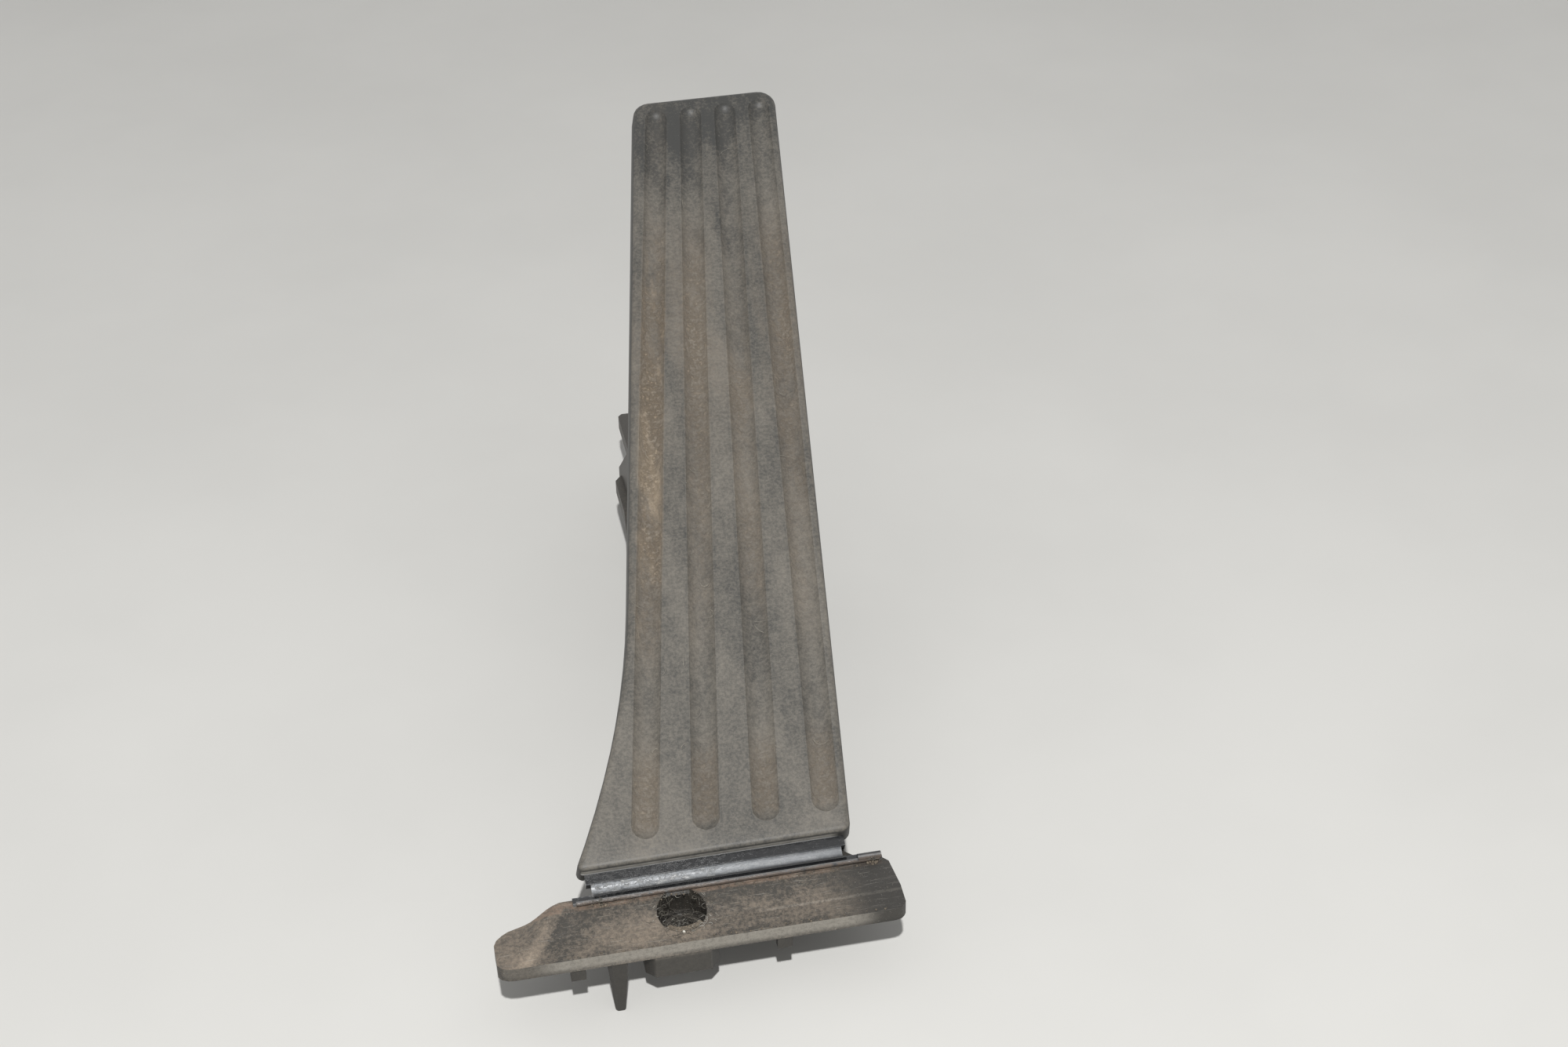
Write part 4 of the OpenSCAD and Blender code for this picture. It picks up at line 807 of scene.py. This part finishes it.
def drift_mesh(name, chance):
    """Soil and fluff heaped in the front of the fixing recess, from its floor up to its rim."""
    steps, rows = 40, 9
    vertices, faces = [], []
    for i in range(steps + 1):
        around = math.radians(190 + 160 * i / steps)
        inner = 2.9 + 2.6 * (2 * i / steps - 1) ** 2
        for k in range(rows + 1):
            reach = inner + (RECESS_REACH - inner) * k / rows
            x, y = RECESS_X + reach * math.cos(around), RECESS_Y + reach * math.sin(around)
            rise = min(1.0, 1.9 * k / rows)
            rise = rise * rise * (3 - 2 * rise) * min(1.0, 5 * i / steps, 5 * (steps - i) / steps)
            height = RECESS_FLOOR + (foot_height(y) - RECESS_FLOOR) * rise
            height += chance.uniform(-0.14, 0.14) * min(1.0, 4 * rise)
            vertices += [tuple(from_hinge(x, y, height)), tuple(from_hinge(x, y, RECESS_FLOOR - 0.1))]
    across = 2 * (rows + 1)
    for i in range(steps):
        for k in range(rows):
            a = i * across + 2 * k
            faces += [
                (a, a + 2, a + across + 2, a + across), (a + 1, a + across + 1, a + across + 3, a + 3)
            ]
        a, b = i * across, i * across + 2 * rows
        faces += [(a, a + across, a + across + 1, a + 1), (b, b + 1, b + across + 1, b + across)]
    for k in range(rows):
        a, b = 2 * k, steps * across + 2 * k
        faces += [(a, a + 1, a + 3, a + 2), (b, b + 2, b + 3, b + 1)]
    mesh = bpy.data.meshes.new(name)
    mesh.from_pydata(vertices, [], faces)
    return mesh


# Operators, one for each piece or group of like pieces


class PEDAL_OT_plate(bpy.types.Operator):
    """Finish the foot plate: softened edges, dust film and soil in its flutes"""

    bl_idname = "pedal.plate"
    bl_label = "Foot plate"

    def execute(self, context):
        look = context.scene.pedal_plate_look
        nylon = finish_of("plate", dusty_plate_nylon, look)
        softened("pedal_plate", "foot_plate", nylon, "pedal", look.edge, sharp=26)
        return {"FINISHED"}


class PEDAL_OT_housing(bpy.types.Operator):
    """Finish the foot and housing, with dust where they face up"""

    bl_idname = "pedal.housing"
    bl_label = "Foot and housing"

    def execute(self, context):
        look = context.scene.pedal_foot_look
        nylon = finish_of("foot", dusty_foot_nylon, look)
        softened("base_housing", "foot_and_housing", nylon, "base", look.edge, sharp=30)
        return {"FINISHED"}


class PEDAL_OT_hinge_strip(bpy.types.Operator):
    """Finish the film hinge, which bends between the foot and the plate"""

    bl_idname = "pedal.hinge_strip"
    bl_label = "Film hinge"

    def execute(self, context):
        look = context.scene.pedal_hinge_look
        elastomer = finish_of("hinge", hinge_elastomer, look)
        strip = softened("film_hinge", "hinge_strip", elastomer, None, 0.12 * MM, sharp=40)
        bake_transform(strip)
        return {"FINISHED"}


class PEDAL_OT_springs(bpy.types.Operator):
    """Wind the two return springs, which turn between the housing and the lever"""

    bl_idname = "pedal.springs"
    bl_label = "Return springs"

    def execute(self, context):
        size = context.scene.pedal_spring_size
        steel = finish_of("spring", drawn_spring_steel)
        for node, side in (("return_spring_left", 1), ("return_spring_right", -1)):
            low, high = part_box(node)
            outer = (low.x if side > 0 else high.x) + side * size.wire
            inner = (high.x if side > 0 else low.x) - side * size.wire
            path = [Vector((outer, SHAFT.y - BASE_LEG * MM, SHAFT.z - size.coil))]
            steps = 26 * size.turns + 4
            first, last = -math.pi / 2 - 2 * math.pi * size.turns, LEG_LIFT - math.pi / 2
            for i in range(steps + 1):
                turn = first + (last - first) * i / steps
                x = outer + (inner - outer) * i / steps
                path.append(
                    Vector((x, SHAFT.y, SHAFT.z)) + size.coil * Vector((0, math.cos(turn), math.sin(turn)))
                )
            for k in (0.5, 1.0):
                reach = LEVER_LEG * MM * k
                path.append(path[steps + 1] + Vector((0, math.cos(LEG_LIFT), math.sin(LEG_LIFT))) * reach)
            mesh = tubes_mesh(node + "_wire", [path], size.wire, 14)
            spring = show(node + "_wire", mesh, steel, None)
            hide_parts(node)
            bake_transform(spring)
        return {"FINISHED"}


class PEDAL_OT_small_parts(bpy.types.Operator):
    """Finish the lever, cover, sleeves, shaft, sensor and other small parts"""

    bl_idname = "pedal.small_parts"
    bl_label = "Lever, covers and small parts"

    def execute(self, context):
        foot = context.scene.pedal_foot_look
        nylon = finish_of("sheltered", moulded_nylon, foot)
        zinc = finish_of("zinc", zinc_plated_steel)
        spring = finish_of("spring", drawn_spring_steel)
        bronze = finish_of("bronze", sintered_bronze)
        rubber = finish_of("rubber", nitrile_rubber)
        lining = finish_of("lining", friction_lining)
        # Node, body, material, slot and the radius of its edges in millimetres
        parts = (
            ("lever_arm", "lever", nylon, "filled_nylon", 0.3),
            ("bay_cover", "base", nylon, "filled_nylon", 0.3),
            ("sensor_cover", "base", nylon, "filled_nylon", 0.3),
            ("lower_mount_sleeve", "base", finish_of("soiled", soiled_steel), "zinc_steel", 0.15),
            ("upper_mount_sleeve", "base", zinc, "zinc_steel", 0.15),
            ("lever_shaft", "base", zinc, "zinc_steel", 0.15),
            ("cover_screws", "base", zinc, "zinc_steel", 0.1),
            ("roller_pin", "lever", zinc, "zinc_steel", 0.1),
            ("shaft_clip", "base", spring, "spring_steel", 0.0),
            ("track_strip", "pedal", spring, "spring_steel", 0.1),
            ("lever_bush_left", "lever", bronze, "bronze", 0.1),
            ("lever_bush_right", "lever", bronze, "bronze", 0.1),
            ("magnet_ring", "lever", finish_of("ferrite", sintered_ferrite), "ferrite", 0.08),
            ("roller", "wheel", finish_of("acetal", turned_acetal), "acetal", 0.15),
            ("friction_washer_left", "base", lining, "friction_lining", 0.1),
            ("friction_washer_right", "base", lining, "friction_lining", 0.1),
            ("circuit_board", "base", finish_of("board", board_laminate), "board_laminate", 0.0),
            ("hall_sensors", "base", finish_of("chip", chip_epoxy), "chip_resin", 0.08),
            ("cover_seal", "base", rubber, "black_rubber", 0.08),
            ("connector_pins", "base", finish_of("contact", tinned_brass), "brass_contact", 0.04),
            ("rest_stop", "base", rubber, "black_rubber", 0.2),
            ("end_bumper", "base", rubber, "black_rubber", 0.5),
        )
        for node, body, material, slot_name, edge in parts:
            softened(node, node + "_finished", material, body, edge * MM)
        return {"FINISHED"}


class PEDAL_OT_lint(bpy.types.Operator):
    """Scatter hair and lint on the plate and in the fixing recess"""

    bl_idname = "pedal.lint"
    bl_label = "Hair and lint"

    def execute(self, context):
        look = context.scene.pedal_lint_look
        fibre = finish_of("lint", lint_fibre, look)
        chance = random.Random(7)
        hairs = []
        steps = 8
        for _ in range(look.count):
            # k is how far up the plate, whose left edge and width change with it
            s = chance.uniform(20, 236)
            k = (s - 4.5) / 242.5
            x = (-24 + 41 * k) + chance.uniform(0.05, 0.95) * (58 - 14 * k)
            heading = chance.uniform(0, 2 * math.pi)
            bend = chance.uniform(-0.5, 0.5)
            length = chance.uniform(2.0, 7.0)
            hair = []
            for i in range(steps + 1):
                hair.append(on_plate(x, s, 0.05 + 0.25 * math.sin(math.pi * i / steps)))
                x += math.cos(heading) * length / steps
                s += math.sin(heading) * length / steps
                heading += bend
            hairs.append(hair)
        mesh = tubes_mesh("plate_hairs", hairs, 0.045 * MM, 5, True)
        show("plate_hairs", mesh, fibre, "pedal")
        tangle = []
        for i in range(look.tangle):
            # Two thirds ring the recess's rim, and the rest lies on its floor
            around = chance.uniform(0, 2 * math.pi)
            rim = i % 3 > 0
            reach = chance.uniform(4.6, 7.6) if rim else chance.uniform(1.0, 5.2)
            x, y = RECESS_X + reach * math.cos(around), RECESS_Y + reach * math.sin(around)
            if rim:
                z = foot_height(y) + chance.uniform(-1.6, 0.1)
            else:
                z = RECESS_FLOOR + 0.1 + chance.uniform(0.0, 1.2)
            heading = chance.uniform(0, 2 * math.pi)
            bend = chance.uniform(-0.8, 0.8)
            hair = []
            for _ in range(steps + 1):
                hair.append(from_hinge(x, y, z))
                x += math.cos(heading) * 0.42
                y += math.sin(heading) * 0.42
                z = min(z + chance.uniform(-0.12, 0.2), foot_height(y) + 0.35)
                if math.hypot(x - RECESS_X, y - RECESS_Y) > RECESS_REACH:
                    z = max(z, foot_height(y) + 0.05)
                heading += bend
            tangle.append(hair)
        # Two tufts are caught against the ends of the hinge's lower flange
        for place in ((-33.4, -5.6), (36.9, -5.4)):
            for _ in range(14):
                x, y = place[0] + chance.gauss(0, 0.8), place[1] + chance.gauss(0, 0.4)
                z = 25.6 + chance.uniform(-0.2, 0.8)
                heading = chance.uniform(0, 6.28)
                bend = chance.uniform(-1.1, 1.1)
                hair = []
                for _ in range(steps):
                    hair.append(from_hinge(x, y, z))
                    x, y = x + math.cos(heading) * 0.26, y + math.sin(heading) * 0.2
                    z += chance.uniform(-0.1, 0.12)
                    heading += bend
                tangle.append(hair)
        mesh = tubes_mesh("recess_lint", tangle, 0.075 * MM, 5, True)
        show("recess_lint", mesh, finish_of("fluff", dark_fluff), "base")
        crumbs = []
        for i in range(look.crumbs):
            # A fifth lies at the hinge's two ends, two fifths along the front and the rest by the hinge
            if i % 5 == 0:
                place = (-33.4, -5.5) if i % 2 else (36.9, -5.3)
                x, y = place[0] + chance.gauss(0, 0.9), place[1] + chance.gauss(0, 0.35)
                size = chance.uniform(0.2, 0.55)
            elif i % 5 < 3:
                x, y = chance.uniform(-52, 38), -19.9 + chance.uniform(-0.2, 0.6)
                size = chance.uniform(0.12, 0.34)
            else:
                x, y = chance.uniform(-36, 38), -5.5 + chance.uniform(-1.3, 0.2)
                size = chance.uniform(0.1, 0.3)
            # None on the lobe at the left
            if x >= -44:
                crumbs.append((from_hinge(x, y, foot_height(y) + size * 0.25), size * MM))
        mesh = crumbs_mesh("foot_crumbs", crumbs, chance)
        soil = finish_of("soil", dry_soil, look)
        show("foot_crumbs", mesh, soil, "base")
        show("recess_drift", drift_mesh("recess_drift", chance), soil, "base")
        # A white chip lies on the recess's rim
        chip = from_hinge(-14.0, -17.0, foot_height(-17.0) + 0.15)
        flake = crumbs_mesh("rim_flake", [(chip, 0.42 * MM)], chance)
        show("rim_flake", flake, finish_of("acetal", turned_acetal), "base")
        return {"FINISHED"}


class PEDAL_OT_stage(bpy.types.Operator):
    """Lay the floor, and set the lamps and the camera"""

    bl_idname = "pedal.stage"
    bl_label = "Stage"

    def execute(self, context):
        look = context.scene.pedal_stage_look
        scene = context.scene
        mesh = bpy.data.meshes.new("floor")
        # A floor of 8 metres, and light from a small lamp high behind the viewer's left shoulder
        half = 4.0
        corners = [(-half, -half, 0), (half, -half, 0), (half, half, 0), (-half, half, 0)]
        mesh.from_pydata(corners, [], [(0, 1, 2, 3)])
        mesh.materials.append(painted_panel(look))
        floor = bpy.data.objects.new("floor", mesh)
        scene.collection.objects.link(floor)

        key = bpy.data.lights.new("key", "AREA")
        key.shape = "DISK"
        key.size = 0.045
        key.energy = look.key
        lamp = bpy.data.objects.new("key", key)
        lamp.location = from_hinge(-112, -770, 1180)
        aim = from_hinge(10, 90, 20) - lamp.location
        lamp.rotation_euler = aim.to_track_quat("-Z", "Y").to_euler()
        scene.collection.objects.link(lamp)

        world = bpy.data.worlds.new("even light")
        scene.world = world
        world.use_nodes = True
        tree = world.node_tree
        tree.nodes.clear()
        path = add(tree, ("LightPath", {})).node.outputs
        seen = add(
            tree, MOST,
            add(tree, MOST, path["Is Camera Ray"], path["Is Glossy Ray"]),
            path["Is Transmission Ray"],
        )
        strength = add(tree, SCALED, seen, 1 - look.fill, look.fill)
        light = add(tree, ("Background", {}), (1, 1, 1, 1), strength)
        add(tree, ("OutputWorld", {}), light)

        # The photograph's view: pitched down, rolled a little, and the pedal turned away at its right
        pitch, roll, turn = math.radians(35.5), math.radians(-1.03), math.radians(11.3)
        level = Vector((math.cos(turn), -math.sin(turn), 0))
        ahead = Vector((math.sin(turn), math.cos(turn), 0))
        sight = ahead * math.cos(pitch) - Vector((0, 0, 1)) * math.sin(pitch)
        raised = ahead * math.sin(pitch) + Vector((0, 0, 1)) * math.cos(pitch)
        right = level * math.cos(roll) + raised * math.sin(roll)
        up = raised * math.cos(roll) - level * math.sin(roll)
        eye = bpy.data.cameras.new("view")
        eye.lens = look.lens
        eye.sensor_width = 36
        eye.clip_start = 0.01
        camera = bpy.data.objects.new("view", eye)
        columns = Matrix((right, up, -sight)).transposed().to_4x4()
        camera.matrix_world = Matrix.Translation(from_hinge(-80.5, -486.1, 483.7)) @ columns
        scene.collection.objects.link(camera)
        scene.camera = camera
        scene.view_settings.view_transform = "Standard"
        return {"FINISHED"}


class PEDAL_PT_panel(bpy.types.Panel):
    """Lists the pedal's pieces in the sidebar"""

    bl_label = "Accelerator pedal"
    bl_idname = "PEDAL_PT_panel"
    bl_space_type = "VIEW_3D"
    bl_region_type = "UI"
    bl_category = "Pedal"

    def draw(self, context):
        for group in GROUPS:
            look = getattr(context.scene, group)
            box = self.layout.box()
            for name in look.bl_rna.properties.keys():
                if name not in ("rna_type", "name"):
                    box.prop(look, name)
        for operator in OPERATORS:
            self.layout.operator(operator.bl_idname)


GROUPS = {
    "pedal_stage_look": StageLook,
    "pedal_plate_look": PlateLook,
    "pedal_foot_look": FootLook,
    "pedal_hinge_look": HingeLook,
    "pedal_spring_size": SpringSize,
    "pedal_lint_look": LintLook,
}
OPERATORS = (
    PEDAL_OT_stage, PEDAL_OT_plate, PEDAL_OT_housing, PEDAL_OT_hinge_strip, PEDAL_OT_springs,
    PEDAL_OT_small_parts, PEDAL_OT_lint,
)


def register():
    """Adds the look groups, the operators and the panel to Blender."""
    for group in GROUPS.values():
        bpy.utils.register_class(group)
    for operator in OPERATORS:
        bpy.utils.register_class(operator)
    bpy.utils.register_class(PEDAL_PT_panel)
    for name, group in GROUPS.items():
        setattr(bpy.types.Scene, name, bpy.props.PointerProperty(type=group))


def unregister():
    """Takes them out again."""
    for name in GROUPS:
        delattr(bpy.types.Scene, name)
    bpy.utils.unregister_class(PEDAL_PT_panel)
    for operator in reversed(OPERATORS):
        bpy.utils.unregister_class(operator)
    for group in reversed(list(GROUPS.values())):
        bpy.utils.unregister_class(group)


def main():
    """Builds the stage and every piece."""
    register()
    bpy.ops.pedal.stage()
    bpy.ops.pedal.plate()
    bpy.ops.pedal.housing()
    bpy.ops.pedal.hinge_strip()
    bpy.ops.pedal.springs()
    bpy.ops.pedal.small_parts()
    bpy.ops.pedal.lint()


if __name__ == "__main__":
    main()
